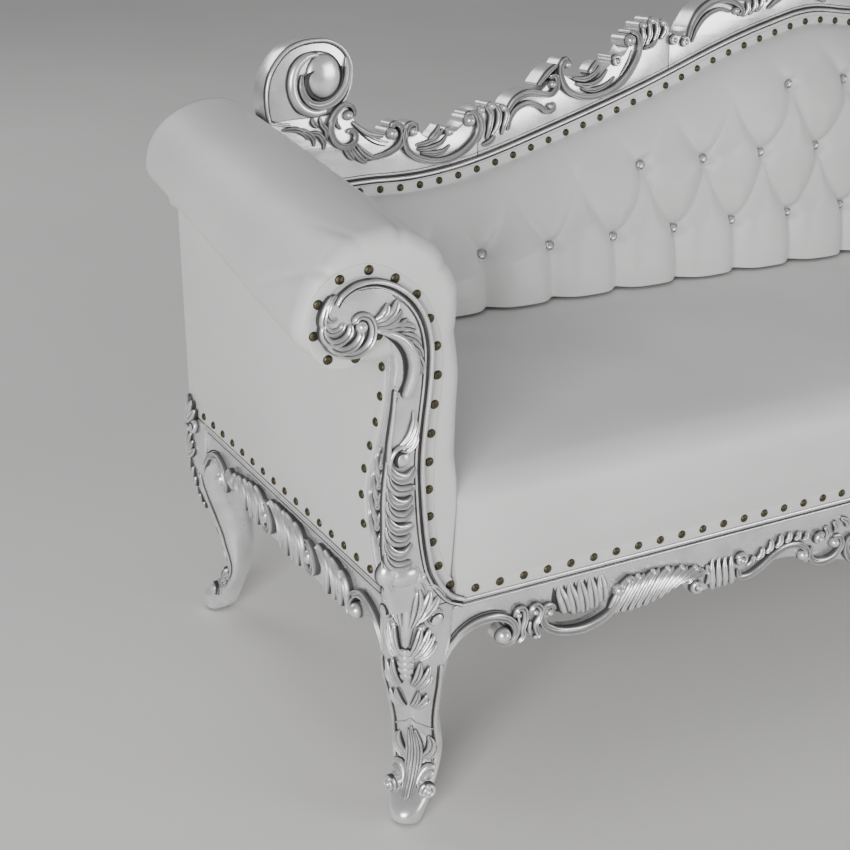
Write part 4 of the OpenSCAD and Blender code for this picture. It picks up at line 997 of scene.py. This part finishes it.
# Crest
CREST_END = 62.0
CREST_HEAD = LENGTH - CREST_END
CROWN_X = 1062.0
CREST_LINE = smooth([(62, 299), (200, 301), (275, 303), (350, 303), (450, 317), (600, 357),
                     (750, 402), (900, 454), (1000, 483), (1090, 501), (1185, 493), (1260, 491),
                     (1398, 489)], 6)
CREST_TOP = smooth([(62, 352), (90, 384), (120, 398), (150, 402), (215, 404), (240, 414),
                    (250, 398), (262, 385), (280, 374), (298, 369), (318, 374), (334, 360),
                    (350, 374), (372, 358), (398, 362), (420, 366), (440, 384), (458, 398),
                    (482, 392), (508, 389), (535, 403), (565, 411), (588, 430), (600, 440),
                    (616, 428), (650, 414), (680, 432), (702, 450), (720, 456), (738, 484),
                    (762, 500), (786, 500), (806, 484), (832, 478), (850, 504), (876, 522),
                    (906, 530), (936, 522), (958, 514), (980, 538), (1002, 560), (1022, 584),
                    (1038, 608), (1062, 620), (1086, 608), (1100, 584), (1118, 566), (1142, 556),
                    (1170, 568), (1198, 576), (1212, 598), (1222, 606), (1245, 594), (1310, 592),
                    (1340, 588), (1370, 574), (1398, 542)], 3)


def crest_v(x):
    return np.interp(x, CREST_LINE[:, 0], CREST_LINE[:, 1])


def crest_volute(cut):
    """Rim and flat crescent, and a smooth band that winds into a large eye."""
    outline = smooth([(121, 397), (117, 417), (118, 445), (127, 470), (148, 494), (172, 505),
                      (200, 508), (221, 505), (240, 493), (251, 474), (252, 452), (246, 431),
                      (232, 413), (208, 403), (180, 395), (148, 391), (121, 397)], 5)[:-1]
    cut.board(outline, -38, -1, 3)
    rim = outline[np.arange(-6, 62)]
    cut.stroke(beside(rim, -2.6), (2, 2.7, 2.8, 2.7, 2.4), 4.6, base=-2)
    cut.line(beside(rim, -5.9), 1.2, -0.6, 0.9)
    # The band: from the foot round the left to the top, and its inner turn
    cut.stroke([(212, 411), (190, 408), (170, 417), (159, 436), (159, 457), (167, 474), (183, 485),
                (200, 486)], (4, 6.5, 8, 8, 8, 7.5, 6, 2), (5, 7, 8, 9, 9, 9, 9, 6), base=-2)
    cut.stroke([(243, 482), (242, 456), (235, 438), (221, 424), (203, 418), (186, 421), (175, 432),
                (171, 447), (174, 461)], (2, 5, 6, 6.4, 6.4, 6, 5, 4.4, 2),
               (4, 7, 8, 9, 9, 9, 9, 8, 5), "scroll", base=-2)
    cut.ball(206, 457, (26.5, 30), 8.5, base=0, seg=48, rings=14)
    spire = [(184, 403), (164, 411), (153, 429), (150, 451), (156, 471), (170, 485), (189, 490),
             (208, 489), (222, 483), (232, 470), (234, 456), (230, 443), (222, 433), (211, 427),
             (198, 425), (187, 430), (180, 438), (177, 450), (180, 459), (188, 464)]
    cut.line(spire[:11], 1.3, -0.4, 1.4)
    cut.line(spire[9:], 1.6, 3, 2.4)
    cut.stroke([(198, 426), (187, 431), (180, 440), (178, 451), (182, 460), (190, 465)],
               (0.8, 2.6, 3.4, 3, 1), 1.2, "line", 5.8, 3)


def crest_foot(cut):
    """Carving from the volute to the first ball of the crest."""
    cut.leaves(([(140, 388), (160, 388), (172, 382), (180, 372)],
                [(158, 386), (174, 384), (186, 374), (188, 362)],
                [(178, 381), (194, 379), (203, 366), (202, 356)],
                [(198, 402), (200, 392), (207, 382), (205, 368)],
                [(186, 402), (188, 394), (196, 388)]),
               (2, 4.4, 4.4, 2), (3, 8, 8, 3), 3, 2)
    cut.stroke([(251, 399), (251, 409), (243, 416), (231, 415), (219, 404), (213, 388), (216, 372),
                (226, 361), (239, 358), (250, 364), (252, 374), (246, 380), (239, 377)],
               (2.4, 3.4, 4, 4.8, 5, 5, 4.8, 4.2, 3.2), (6, 8, 9, 9, 9, 9, 8, 6), "scroll",
               sink=24)
    cut.ball(242, 401, 7.5, 11, sink=30)
    cut.stroke([(224, 404), (223, 392), (231, 382)], (2, 3.6, 2), (4, 6, 4), "leaf")
    # The band that sweeps down from the ball, its ridge, and the rim that turns up to a ball
    cut.stroke([(249, 392), (260, 382), (276, 373), (298, 368)], (3, 5, 4), (5, 8, 5), "scroll",
               sink=34)
    cut.line([(250, 387), (266, 370), (284, 358), (302, 353)], 1.5, 0, 1)
    cut.stroke([(254, 390), (270, 374), (288, 363), (306, 358)], (1.6, 2.4, 1.4), (3, 4, 2))
    for root, tip in (((234, 362), (250, 338)), ((243, 362), (270, 332)), ((254, 360), (284, 337))):
        cut.lobe(root, tip, 5.6, 8, -0.08)
    cut.stroke([(266, 336), (284, 339), (302, 343), (318, 351), (327, 363), (327, 376), (318, 384),
                (308, 380)], (2.6, 4, 4.6, 4.8, 4.6, 3.4), (4, 7, 9, 9, 8, 6), "scroll", sink=26)
    cut.ball(311, 370, 9, 12, sink=34)


def crest_waves(cut):
    """The scrolls that climb the crest, drawn where the picture shows them."""
    # First C-scroll with its acanthus
    cut.stroke([(352, 368), (350, 380), (338, 380), (330, 366), (334, 346), (350, 333), (376, 325),
                (404, 326), (430, 336), (450, 354), (455, 374), (447, 388), (434, 386)],
               (3, 4.5, 5.2, 5.2, 5.2, 4.6, 3.5), (6, 9, 10, 10, 10, 9, 7), "scroll", sink=30)
    cut.balls((345, 370, 7.5, 11), (440, 378, 9.5, 12), (406, 365, 7, 10), sink=34)
    cut.leaves(([(350, 350), (368, 352), (384, 358), (396, 370)],
                [(352, 344), (372, 344), (392, 350), (404, 362)],
                [(358, 338), (378, 336), (396, 338), (408, 346)],
                [(372, 356), (384, 366), (390, 376)]),
               (2.5, 4.4, 4, 2), (4, 7, 6, 3), 20)
    # Clump of leaves
    cut.leaves(([(456, 346), (462, 364), (458, 382), (450, 392)],
                [(470, 348), (474, 366), (476, 384), (468, 396)],
                [(478, 352), (488, 368), (490, 386), (484, 398)],
                [(496, 352), (500, 368), (504, 384), (498, 396)],
                [(462, 340), (474, 344), (484, 354)]),
               (2.4, 4.6, 5, 3), (4, 8, 9, 6), 24)
    cut.balls((460, 392, 6, 10), (478, 396, 6.5, 10), (498, 392, 6, 10), sink=34)
    # Double-ribbed arch
    cut.stroke([(506, 358), (510, 376), (522, 390), (542, 396), (562, 390), (576, 380), (588, 384),
                (587, 394)], (3, 4.2, 4.6, 4.2, 3), (6, 8, 9, 8, 6), "scroll", sink=10)
    cut.stroke([(504, 384), (518, 402), (540, 411), (564, 408), (582, 406), (593, 418), (590, 432),
                (580, 430)], (3, 4.4, 5, 4.6, 3), (6, 9, 10, 9, 6), "scroll", sink=34)
    cut.ball(585, 420, 6.5, 9, sink=30)
    cut.ball(581, 388, 5.5, 8)
    cut.stroke([(560, 420), (578, 438), (594, 448)], (2.5, 4, 3), (5, 8, 6), "leaf", sink=32)
    # Second, longer C-scroll
    cut.stroke([(618, 446), (610, 456), (600, 446), (600, 430), (610, 412), (630, 401), (656, 397),
                (686, 402), (712, 415), (732, 436), (744, 460), (742, 482), (730, 489)],
               (3, 4.6, 5.4, 5.4, 5.4, 5, 3.6), (6, 9, 10, 10, 10, 9, 7), "scroll", sink=30)
    cut.balls((612, 447, 6.5, 10), (728, 476, 9.5, 12), sink=34)
    cut.volute(702, 447, 9.5, 150, -400, 9, 3.2, sink=34)
    cut.leaves(([(624, 426), (644, 424), (662, 430), (674, 442)],
                [(628, 418), (650, 414), (672, 420), (688, 436)],
                [(638, 410), (660, 406), (684, 412), (702, 424)],
                [(652, 432), (662, 442), (668, 450)]),
               (2.5, 4.6, 4.2, 2), (4, 7, 6, 3), 22)
    cut.stroke([(712, 424), (726, 444), (733, 462)], (1.6, 2.2, 1.4), (3, 4, 2))
    # Second clump
    cut.leaves(([(748, 462), (752, 480), (750, 496)], [(758, 466), (764, 484), (762, 502)],
                [(772, 470), (778, 488), (776, 504)], [(786, 474), (794, 488), (792, 500)],
                [(754, 462), (768, 466), (780, 478)]),
               (2.6, 5, 3.4), (5, 9, 7), 28)
    cut.balls((752, 497, 6, 10), (769, 503, 6.5, 10), (789, 499, 6, 10), sink=34)
    cut.volute(812, 472, 9, 60, 420, 9, 3, sink=20)
    cut.volute(833, 468, 9, 120, -420, 9, 3, sink=20)
    # Broad arch of two ribs
    cut.stroke([(840, 470), (846, 492), (860, 512), (882, 525), (906, 529), (930, 523), (946, 510),
                (940, 502)], (3.12, 5.2, 5.2, 3.64), (6, 10, 10, 7), "scroll", sink=34)
    cut.stroke([(848, 466), (856, 486), (868, 501), (886, 511), (906, 514), (924, 509)],
               (2.16, 3.6, 3.6, 2.52), (4.2, 7, 7, 4.9), "scroll", sink=8)
    cut.ball(934, 510, 6.5, 10, sink=30)
    # Beyond the picture: leaves and a rising scroll up to the crown
    cut.leaves(([(950, 500), (958, 512), (956, 524)], [(962, 502), (972, 516), (970, 532)],
                [(976, 506), (986, 520), (986, 538)]),
               (2.6, 5, 3.4), (5, 9, 7), 28)
    cut.stroke([(992, 520), (1004, 540), (1010, 562), (1022, 584), (1036, 590), (1042, 578),
                (1034, 570)], (3, 5, 5.4, 5, 3.4), (6, 9, 10, 9, 7), "scroll", sink=32)
    cut.ball(1031, 578, 7, 10, sink=30)
    cut.stroke([(1000, 510), (1020, 524), (1040, 532), (1062, 534)], (2.5, 4.5, 4.6, 4.4),
               (5, 8, 9, 9), "scroll")


def crown(cut):
    """The fan at the top of the crest, and a scroll on each side of it."""
    cut.at(CROWN_X, 572).flutes(46, 9, 210, 11, 34)
    cut.ball(CROWN_X, 570, (13, 11), 14, base=2)
    for hand in (-1, 1):
        face = cut.at(CROWN_X, 0, hand)
        face.stroke([(0, 540), (18, 542), (32, 552), (36, 566), (28, 574)], (4, 4.6, 4.2, 3),
                    (7, 9, 9, 6), "scroll", sink=6)
        face.ball(27, 565, 6, 10)
    cut.stroke([(1062, 534), (1084, 532), (1104, 524), (1124, 516)], (4.4, 4.6, 4.5, 2.5),
               (9, 9, 8, 5), "scroll")
    cut.stroke([(1092, 590), (1104, 572), (1122, 556), (1140, 550)], (3, 5, 4.5, 3), (6, 9, 9, 6),
               "scroll", sink=32)


def crest_bead(cut, a, b):
    xs = np.linspace(a, b, int((b - a) / 30))
    cut.stroke([(x, crest_v(x) + 2.8) for x in xs], 3.4, 4.6, ends=(0, 0))
    cut.line([(x, crest_v(x) + 7.6) for x in xs], 1.4)
    cut.line([(x, crest_v(x) + 12) for x in xs], 0.6)


def between(line, a, b):
    """The part of a line from a to b along the crest."""
    ends = [(x, float(np.interp(x, line[:, 0], line[:, 1]))) for x in (a, b)]
    return ends[:1] + [tuple(q) for q in line if a < q[0] < b] + ends[1:]


on_head_crest = at_head(raised(on_crest, HEAD_RISE, True))


def crest_head(cut):
    crown(cut)
    crest_foot(Carving(cut.shell, on_head_crest))


CREST_JOINTS = [CREST_END, 456, 806, CREST_HEAD]
for k, (part, carve) in enumerate((("foot", crest_foot), ("middle", crest_waves),
                                   ("head", crest_head))):
    shell = Shell()
    a, b = CREST_JOINTS[k:k + 2]
    cut = Carving(shell, on_crest)
    cut.board(between(CREST_LINE, a, b) + between(CREST_TOP, a, b)[::-1], -BACK_T, 0, 1.5)
    crest_bead(cut, max(a, 100), min(b, 1360))
    carve(cut)
    shell.piece("carved_crest_" + part, silver, "silver_carving", "crest_rail_" + part)
for name, node, place in (
        ("carved_volute_foot", "crest_volute_foot", on_crest),
        ("carved_volute_head", "crest_volute_head", on_head_crest)):
    shell = Shell()
    crest_volute(Carving(shell, place))
    shell.piece(name, silver, "silver_carving", node)


# Upholstery
def arm_section(t, rise):
    """The outline of an arm across, from the inner foot over the roll to the outer foot."""
    cx, cz = lerp(-ROLL_OUT, 60, t), lerp(SCROLL_Z, SCROLL_Z + 4, t) + rise
    al, ar = lerp(ROLL_R, 104, t), lerp(ROLL_R, 75, t)
    bt, bl, crease = lerp(ROLL_R, 80, t), lerp(46, 50, t), CREASE_Z + rise
    neck = lerp(ARM_WALL + 3, lerp(ARM_WALL, cx + ar, 0.35), t)
    inner = smooth([(ARM_WALL, RAIL_TOP), (ARM_WALL + 4, lerp(RAIL_TOP, crease, 0.4)),
                    (ARM_WALL + 3, lerp(RAIL_TOP, crease, 0.75)), (neck, crease - 26),
                    (cx + ar * cos(radians(-15)), cz + bt * sin(radians(-15)))], 4)[:-1]
    roll = [(cx + (ar if a < 90 else al) * cos(radians(a)), cz + bt * sin(radians(a)))
            for a in np.arange(-15, 180, 2.5)]
    under = [(cx + al * cos(radians(a)), cz + bl * sin(radians(a)))
             for a in 180 + np.linspace(0, 4, 10) * lerp(20, 11, t)]
    outer = [(lerp(-24, -15, t), crease - 3), (lerp(-6, -13, t), crease - 10), (0, crease - 20)]
    outer += [(0, z) for z in np.linspace(crease - 34, RAIL_TOP, 12)]
    return np.array([tuple(p) for p in inner] + roll + under + outer)


def inward(loop):
    """Unit normals of a closed outline, towards its inside."""
    nxt, prv = np.roll(loop, -1, 0), np.roll(loop, 1, 0)
    t = nxt - prv
    t /= np.linalg.norm(t, axis=1)[:, None] + 1e-9
    return np.stack([-t[:, 1], t[:, 0]], -1)


# Creases in the cover by the scroll head: angle, turn per 100 mm, depth, length
CREASES = [(2.35, 0.5, 3.0, 120), (1.35, -0.3, 3.2, 110), (0.62, -0.3, 2.6, 90),
           (1.85, 0.1, 1.6, 70), (0.1, 0.2, 1.6, 70)]
EDGE_R = 20.0


def arm_pad(name, node, turn, rise):
    shell = Shell()
    plain = turn(lambda x, y, z: np.stack([x, y, z], -1))
    ys = np.concatenate([EDGE_R * (1 - np.cos(np.radians(np.arange(0, 91, 11.25)))),
                         np.linspace(25, DEPTH, 70)])
    rows = []
    for y in ys:
        t = y / DEPTH
        sec = arm_section(t, rise)
        # The front edge is rounded, but less where the seat meets the arm
        near_seat = np.clip((485 - sec[:, 1]) / 30, 0, 1) * (sec[:, 0] > 20)
        r = lerp(EDGE_R, 5.0, near_seat)
        away = np.clip(r - y, 0, None)
        inset = r - np.sqrt(np.maximum(r ** 2 - away ** 2, 0))
        sec = sec + inward(sec) * inset[:, None]
        yy = np.full(len(sec), y) + t * (sec[:, 1] - RAIL_TOP) * tan(RAKE)
        # Soft pleats that run back from the scroll head over the roll
        ang = np.arctan2(sec[:, 1] - SCROLL_Z - rise, sec[:, 0] + ROLL_OUT)
        on_roll = np.clip((sec[:, 1] - (CREASE_Z + rise - 10)) / 30, 0, 1)
        fade = np.exp(-((y - 14) / 46) ** 2) * on_roll
        dent = 0.8 * fade * np.cos(ang * 11 + 0.6)
        for where, turn_by, depth, reach in CREASES:
            off = ang - where - turn_by * y / 100
            dent = dent + depth * np.exp(-(off / 0.045) ** 2 - (y / reach) ** 2) * on_roll
        slow = np.array([noise.noise(Vector((x * 0.009, y * 0.006, z * 0.009)))
                         for x, z in sec]) * 1.6 * on_roll
        sec = sec + inward(sec) * (dent - slow)[:, None]
        rows.append(plain(sec[:, 0], yy, sec[:, 1]))
    shell.grid(np.array(rows), wrap_v=True, caps=True)
    shell.piece(name, white, "white_cover", node, sharp=0)


arm_pad("left_arm_roll", "left_arm_pad", at_foot, 0)
arm_pad("right_arm_roll", "right_arm_pad", at_head, HEAD_RISE)


def side_panel(name, node, turn, rise):
    shell = Shell()
    place = turn(on_side)
    low, high = RAIL_TOP + 1, CREASE_Z + rise - 14
    rows = []
    for z in np.linspace(low, high, 40):
        y0 = float(post_at(unlifted(z, rise), 3)) - 1
        y1 = DEPTH + (z - RAIL_TOP) * tan(RAKE) - 1
        s = np.linspace(0, 1, 44)
        puff = 1.6 + 4.2 * (1 - (2 * s - 1) ** 4) * (1 - (2 * (z - low) / (high - low) - 1) ** 4)
        rows.append(place(lerp(y0, y1, s), np.full(44, z), puff))
    front = np.array(rows)
    flat = front.copy()
    flat[..., 0] = place(np.zeros(1), np.zeros(1), np.zeros(1))[0][0]
    shell.slab(front, flat)
    shell.piece(name, white, "white_cover", node, sharp=50)


side_panel("left_outside_cover", "left_outside_panel", at_foot, 0)
side_panel("right_outside_cover", "right_outside_panel", at_head, HEAD_RISE)

# Seat
SEAT_LOW = RAIL_TOP + 1.5
SEAT_END = ARM_WALL + 4
shell = Shell()
rows = []
for t in np.linspace(0, 1, 120):
    c = 1 - abs(2 * t - 1) ** 7
    x = lerp(SEAT_END, LENGTH - SEAT_END, t)
    rise = min(min(x - SEAT_END, LENGTH - SEAT_END - x) / 70, 1)
    h, b = SEAT_H - 10 + 10 * c, SEAT_BULGE * (0.45 + 0.55 * c) * sin(rise * pi / 2)
    sec = smooth([(-5, SEAT_LOW), (-5.4, 324), (-6 - b * .1, 336), (-b * 0.9, 360), (-b, 384),
                  (-b * 0.9, h - 52), (-b * 0.2, h - 26), (16, h - 10), (42, h - 3), (100, h),
                  (200, h), (300, h - 5), (380, h - 12), (440, h - 20), (490, h - SEAT_DROP),
                  (550, h - SEAT_DROP - 8)], 5)
    wave = np.array([noise.noise(Vector((x * 0.006, y * 0.007, z * 0.004))) for y, z in sec])
    grow = np.clip((sec[:, 0] - 20) / 120, 0, 1) * np.clip((520 - sec[:, 0]) / 60, 0, 1)
    top = sec[:, 1] + wave * 1.8 * grow
    pts = np.stack([np.full(len(sec), x), sec[:, 0], top], -1)
    rows.append(np.concatenate([pts, [[x, 550, SEAT_LOW]]]))
shell.grid(np.array(rows), wrap_v=True, caps=True)
seat = shell.piece("seat_upholstery", white, "white_cover", "seat_cover", "seat_foam", sharp=60)

# Tufted back
ROW_V = 192.0
BACK_FOOT = 114.9
# A column of buttons, and how far the buttons stay from the back's ends and the crest line
BUTTON_X, BUTTON_END, BUTTON_GAP = 426.0, 150.0, 82.0


def button_places():
    out = []
    for r in range(3):
        for i in range(13):
            x = BUTTON_X + (i - 3 + (0.5 if r % 2 else 0)) * PITCH
            v = ROW_V + r * RISE
            if BUTTON_END < x < LENGTH - BUTTON_END and v < crest_v(x) - BUTTON_GAP:
                out.append((x, v))
    return out


def back_height(x, v):
    """Height of the padded back above its frame: puffs, tufts, channels and diagonal pleats."""
    edge = crest_v(x) - v
    side = np.minimum(x - CREST_END, LENGTH - CREST_END - x)
    rim = np.clip((edge - 18) / 120, 0, 1)
    ends = np.clip((side + 10) / 60, 0, 1)
    foot = np.clip((ROW_V + 60 - v) / 110, 0, 1)
    w = (v - ROW_V) / RISE
    r = np.floor(np.maximum(w, 0))
    f = np.maximum(w, 0) - r
    shift = np.where(r % 2 == 0, 0, 0.5)
    u = (x - BUTTON_X) / PITCH - shift
    u = np.abs(u - np.round(u))
    below = v < ROW_V
    bow = f * 0.5 + 0.10 * np.sin(f * pi)
    crease_u = np.where(below, u, np.abs(u - bow))
    narrow = 0.35 * np.exp(-np.abs(crease_u / 0.05)) + 0.65 * np.exp(-(crease_u / 0.17) ** 2)
    fade = np.clip((edge - 40) / 70, 0, 1)
    mid = 1 - 0.45 * np.sin(f * pi)
    fold = np.where(below, 0.78 * narrow, 0.8 * narrow * fade * mid)
    near = np.where(below, np.hypot(u, w * 0.9), np.hypot(u, f * 0.9))
    far = np.where(below, 9, np.hypot(0.5 - u, (1 - f) * 0.9))
    held = np.where(below, 1, np.clip((edge - 66) / 22, 0, 1))
    spot = np.maximum(np.exp(-(near / 0.13) ** 2) * held, np.exp(-(far / 0.13) ** 2) * held)
    dip = np.minimum(np.maximum(fold, spot) + 0.25 * np.minimum(fold, spot), 1.05)
    puff = 6 + (PUFF - 18 + 12 * foot) * np.sqrt(rim) * np.sqrt(ends)
    pillow = 4 * np.cos(np.minimum(crease_u, 0.5) * pi - pi / 2) * rim * ends
    return puff - TUFT_DEPTH * dip * rim ** 0.7 * ends + pillow


shell = Shell()
xs = np.linspace(CREST_END + 3, LENGTH - CREST_END - 3, 300)
s = np.linspace(0, 1, 90)
rows = []
for x in xs:
    top = crest_v(x) - 0.6
    v = lerp(BACK_FOOT + 1, top, s)
    d = back_height(np.full(90, x), v)
    d = np.where(s > 0.985, np.minimum(d, 5), d)
    wob = np.array([noise.noise(Vector((x * 0.02, q * 0.02, 3.1))) for q in v]) * 0.9
    rows.append(on_back(np.full(90, x), v, -(d + wob + BACK_T + STRAP_T)))
front_face = np.array(rows)
rear_face = np.array([on_back(np.full(90, x), lerp(BACK_FOOT + 1, crest_v(x) - 1.5, s),
                              np.full(90, -(BACK_T + STRAP_T))) for x in xs])
shell.slab(front_face, rear_face)
back = shell.piece("tufted_back_cushion", white, "white_cover", "tufted_back", "back_foam",
                   sharp=60)

# Outside back
shell = Shell()
xs = np.linspace(CREST_END - 5, LENGTH - CREST_END + 5, 120)
s = np.linspace(0, 1, 40)
face, flat = [], []
for x in xs:
    v = lerp(1, crest_v(x) + 18, s)
    side = (x - xs[0]) / (xs[-1] - xs[0])
    puff = 1.5 + 3.5 * (1 - (2 * side - 1) ** 6) * (1 - (2 * s - 1) ** 4)
    face.append(on_back(np.full(40, x), v, puff))
    flat.append(on_back(np.full(40, x), v, np.full(40, 0.2)))
shell.slab(np.array(face), np.array(flat))
shell.piece("outside_back_cover", white, "white_cover", "outside_back_panel", sharp=50)

# Dust cloth under the seat, stapled to the rails and sagging a little
shell = Shell()
CLOTH_Z = RAIL_TOP - 52
CLOTH_EDGE, CORNER, SAG = 30.0, 76.0, 5.0
rows = []
for t in np.arange(40) / 39:
    x = lerp(CLOTH_EDGE, LENGTH - CLOTH_EDGE, t)
    notch = max(0, CORNER - min(x - CLOTH_EDGE, LENGTH - CLOTH_EDGE - x))
    ys = np.linspace(CLOTH_EDGE + notch, DEPTH - CLOTH_EDGE - notch, 24)
    q = (ys - CLOTH_EDGE) / (DEPTH - 2 * CLOTH_EDGE)
    sag = SAG * np.sin(np.clip(q, 0, 1) * pi) * sin(t * pi)
    rows.append(np.stack([np.full(24, x), ys, CLOTH_Z - sag], -1))
shell.grid(np.array(rows))
cloth = shell.piece("dust_cloth", black_cloth, "dust_cloth", "dust_cover", sharp=0)


# Trim bands and nails
def nails(name, node, lines):
    shell = Shell()
    for place, points, base in lines:
        cut = Carving(shell, place)
        for u, v in spaced(points, NAIL_PITCH):
            cut.ball(u, v, NAIL_R, NAIL_H, base, 0.5, 16, 6)
    shell.piece(name, bronze, "bronze_nails", node, sharp=0)


def trim(name, node, lines):
    shell = Shell()
    for place, points, base in lines:
        Carving(shell, place).stroke(points, TRIM_W / 2, TRIM_T, "flat", base, 0.8, 8, (0.4, 0.4))
    shell.piece(name, white_band, "white_trim", node, sharp=50)


POST_LINE = [(53, 333), (40, 351), (24, 408), (18, 480), (19, 535), (23, 590), (19, 632),
             (-4, 684), (-52, 718), (-90, 717), (-115, 699), (-124, 673), (-119, 643),
             (-96, 626), (-71, 630), (-50, 649)]
COLUMN = [(float(post_at(z, 3)) + 13, z) for z in (375, 402, 430, 465, 503, 541, 580)]
NAIL_Z, NAIL_END = RAIL_TOP + 12, 84
front_line = [(NAIL_END, NAIL_Z), (LENGTH - NAIL_END, NAIL_Z)]
side_line = [(NAIL_END, NAIL_Z), (DEPTH - 22, NAIL_Z)]
nails("front_nail_row", "front_nails", [(on_front, front_line, 6.4)])
trim("front_band", "front_trim", [(on_front, [(63, NAIL_Z), (LENGTH - 63, NAIL_Z)], 5.2)])
for hand, turn, rise in (("left", at_foot, 0), ("right", at_head, HEAD_RISE)):
    side, post = turn(on_side), turn(on_front)
    line = [(u, float(lift(v, rise))) for u, v in POST_LINE]
    col = [(u, float(lift(v, rise))) for u, v in COLUMN]
    nails(hand + "_side_nail_row", hand + "_side_nails", [(side, side_line, 2.8)])
    trim(hand + "_side_band", hand + "_side_trim", [(side, side_line, 1.6)])
    nails(hand + "_post_nail_row", hand + "_post_nails", [(post, line, 1.2), (side, col, 3.0)])
    trim(hand + "_post_band", hand + "_post_trim", [(post, line, 0.2), (side, col, 1.8)])
crest_row = [(x, float(crest_v(x)) - lerp(9, 12.5, min(max((x - 450) / 250, 0), 1)))
             for x in np.linspace(254, LENGTH - 254, 40)]
CREST_BAND = STRAP_T + 6
nails("crest_nail_row", "crest_nails", [(on_crest, crest_row, CREST_BAND + TRIM_T)])
trim("crest_band", "crest_trim", [(on_crest, crest_row, CREST_BAND)])

# Buttons: cut crystals in round settings
stones, cups = Shell(), Shell()
for x, v in button_places():
    base = float(back_height(np.array([x]), np.array([v]))[0]) + STRAP_T
    rings = []
    for r, d in ((2.5, -2), (6.6, 3), (8, 4.6), (8, 6.2), (6.9, 6.8), (6.6, 5.6)):
        a = np.linspace(0, 2 * pi, 24, endpoint=False)
        rings.append(on_crest(x + r * np.cos(a), v + r * np.sin(a), np.full(24, base + d)))
    cups.grid(np.array(rings), wrap_v=True, caps=True)
    rings = []
    for r, d, turn_by in ((6.4, 4.8, 0), (6.7, 6.4, 0), (4.9, 8.6, 22.5), (3.0, 9.7, 0)):
        a = np.radians(np.arange(0, 360, 45) + turn_by)
        rings.append(on_crest(x + r * np.cos(a), v + r * np.sin(a), np.full(8, base + d)))
    stones.grid(np.array(rings), wrap_v=True, caps=True)
cups.piece("button_cups", chrome, "button_metal", "button_settings", sharp=30)
stones.piece("button_stones", crystal, "crystal", "button_crystals", sharp=5)

# Floor, lights and camera
floor_mat = Finish("pale_floor", Metallic=0.0)
floor_mat.set(Base_Color=floor_mat.ramp(floor_mat.noise(1.5, 2), (0.3, (0.86, 0.845, 0.83)),
                                        (0.7, (0.90, 0.885, 0.87))), Roughness=0.7)
bpy.ops.mesh.primitive_plane_add(size=60, location=(0, 0, 0))
floor = bpy.context.object
floor.name = "floor"
floor.data.materials.append(floor_mat.mat)

world = bpy.data.worlds.new("studio")
bpy.context.scene.world = world
world.use_nodes = True
tree = world.node_tree
sky = tree.nodes["Background"]
coord = tree.nodes.new("ShaderNodeTexCoord")
split = tree.nodes.new("ShaderNodeSeparateXYZ")
ramp = tree.nodes.new("ShaderNodeValToRGB")
tree.links.new(coord.outputs["Generated"], split.inputs[0])
tree.links.new(split.outputs["Z"], ramp.inputs[0])
tree.links.new(ramp.outputs[0], sky.inputs[0])
low_sky, high_sky = ramp.color_ramp.elements
low_sky.position, low_sky.color = 0.0, (.62, .61, .60, 1)
high_sky.position, high_sky.color = 0.8, (.42, .42, .43, 1)
sky.inputs[1].default_value = 0.6


def soft_box(name, place, target, size, power):
    light = bpy.data.lights.new(name, "AREA")
    light.shape, light.size, light.size_y = "RECTANGLE", size[0], size[1]
    light.energy = power
    obj = bpy.data.objects.new(name, light)
    bpy.context.scene.collection.objects.link(obj)
    obj.location = place
    obj.rotation_euler = (Vector(target) - Vector(place)).to_track_quat("-Z", "Y").to_euler()


soft_box("key", (-3.4, -2.8, 1.7), (0, 0, 0.45), (1.8, 1.8), 130)
soft_box("fill", (2.6, -3.8, 1.4), (0, 0, 0.45), (2.2, 1.6), 60)
soft_box("rear", (-1.5, 3.4, 2.4), (0, 0.2, 0.6), (2.0, 1.2), 25)

# The camera that fits the photograph: angles, place, and focal length over picture width
AZ, EL, ROLL = radians(31.31), radians(23.79), radians(2.59)
CAMERA_PLACE = (-1.53083, -1.67168, 1.22618)
FOCAL, WIDTH = 1603.95, 850
ahead = Vector((sin(AZ) * cos(EL), cos(AZ) * cos(EL), -sin(EL)))
right = Vector((cos(AZ), -sin(AZ), 0))
up = right.cross(ahead)
turned_right = right * cos(ROLL) + up * sin(ROLL)
turned_up = up * cos(ROLL) - right * sin(ROLL)
lens = bpy.data.cameras.new("camera")
lens.sensor_width, lens.lens = 36.0, FOCAL / WIDTH * 36
camera = bpy.data.objects.new("camera", lens)
bpy.context.scene.collection.objects.link(camera)
matrix = Matrix((turned_right, turned_up, -ahead)).transposed().to_4x4()
matrix.translation = Vector(CAMERA_PLACE)
camera.matrix_world = matrix
bpy.context.scene.camera = camera
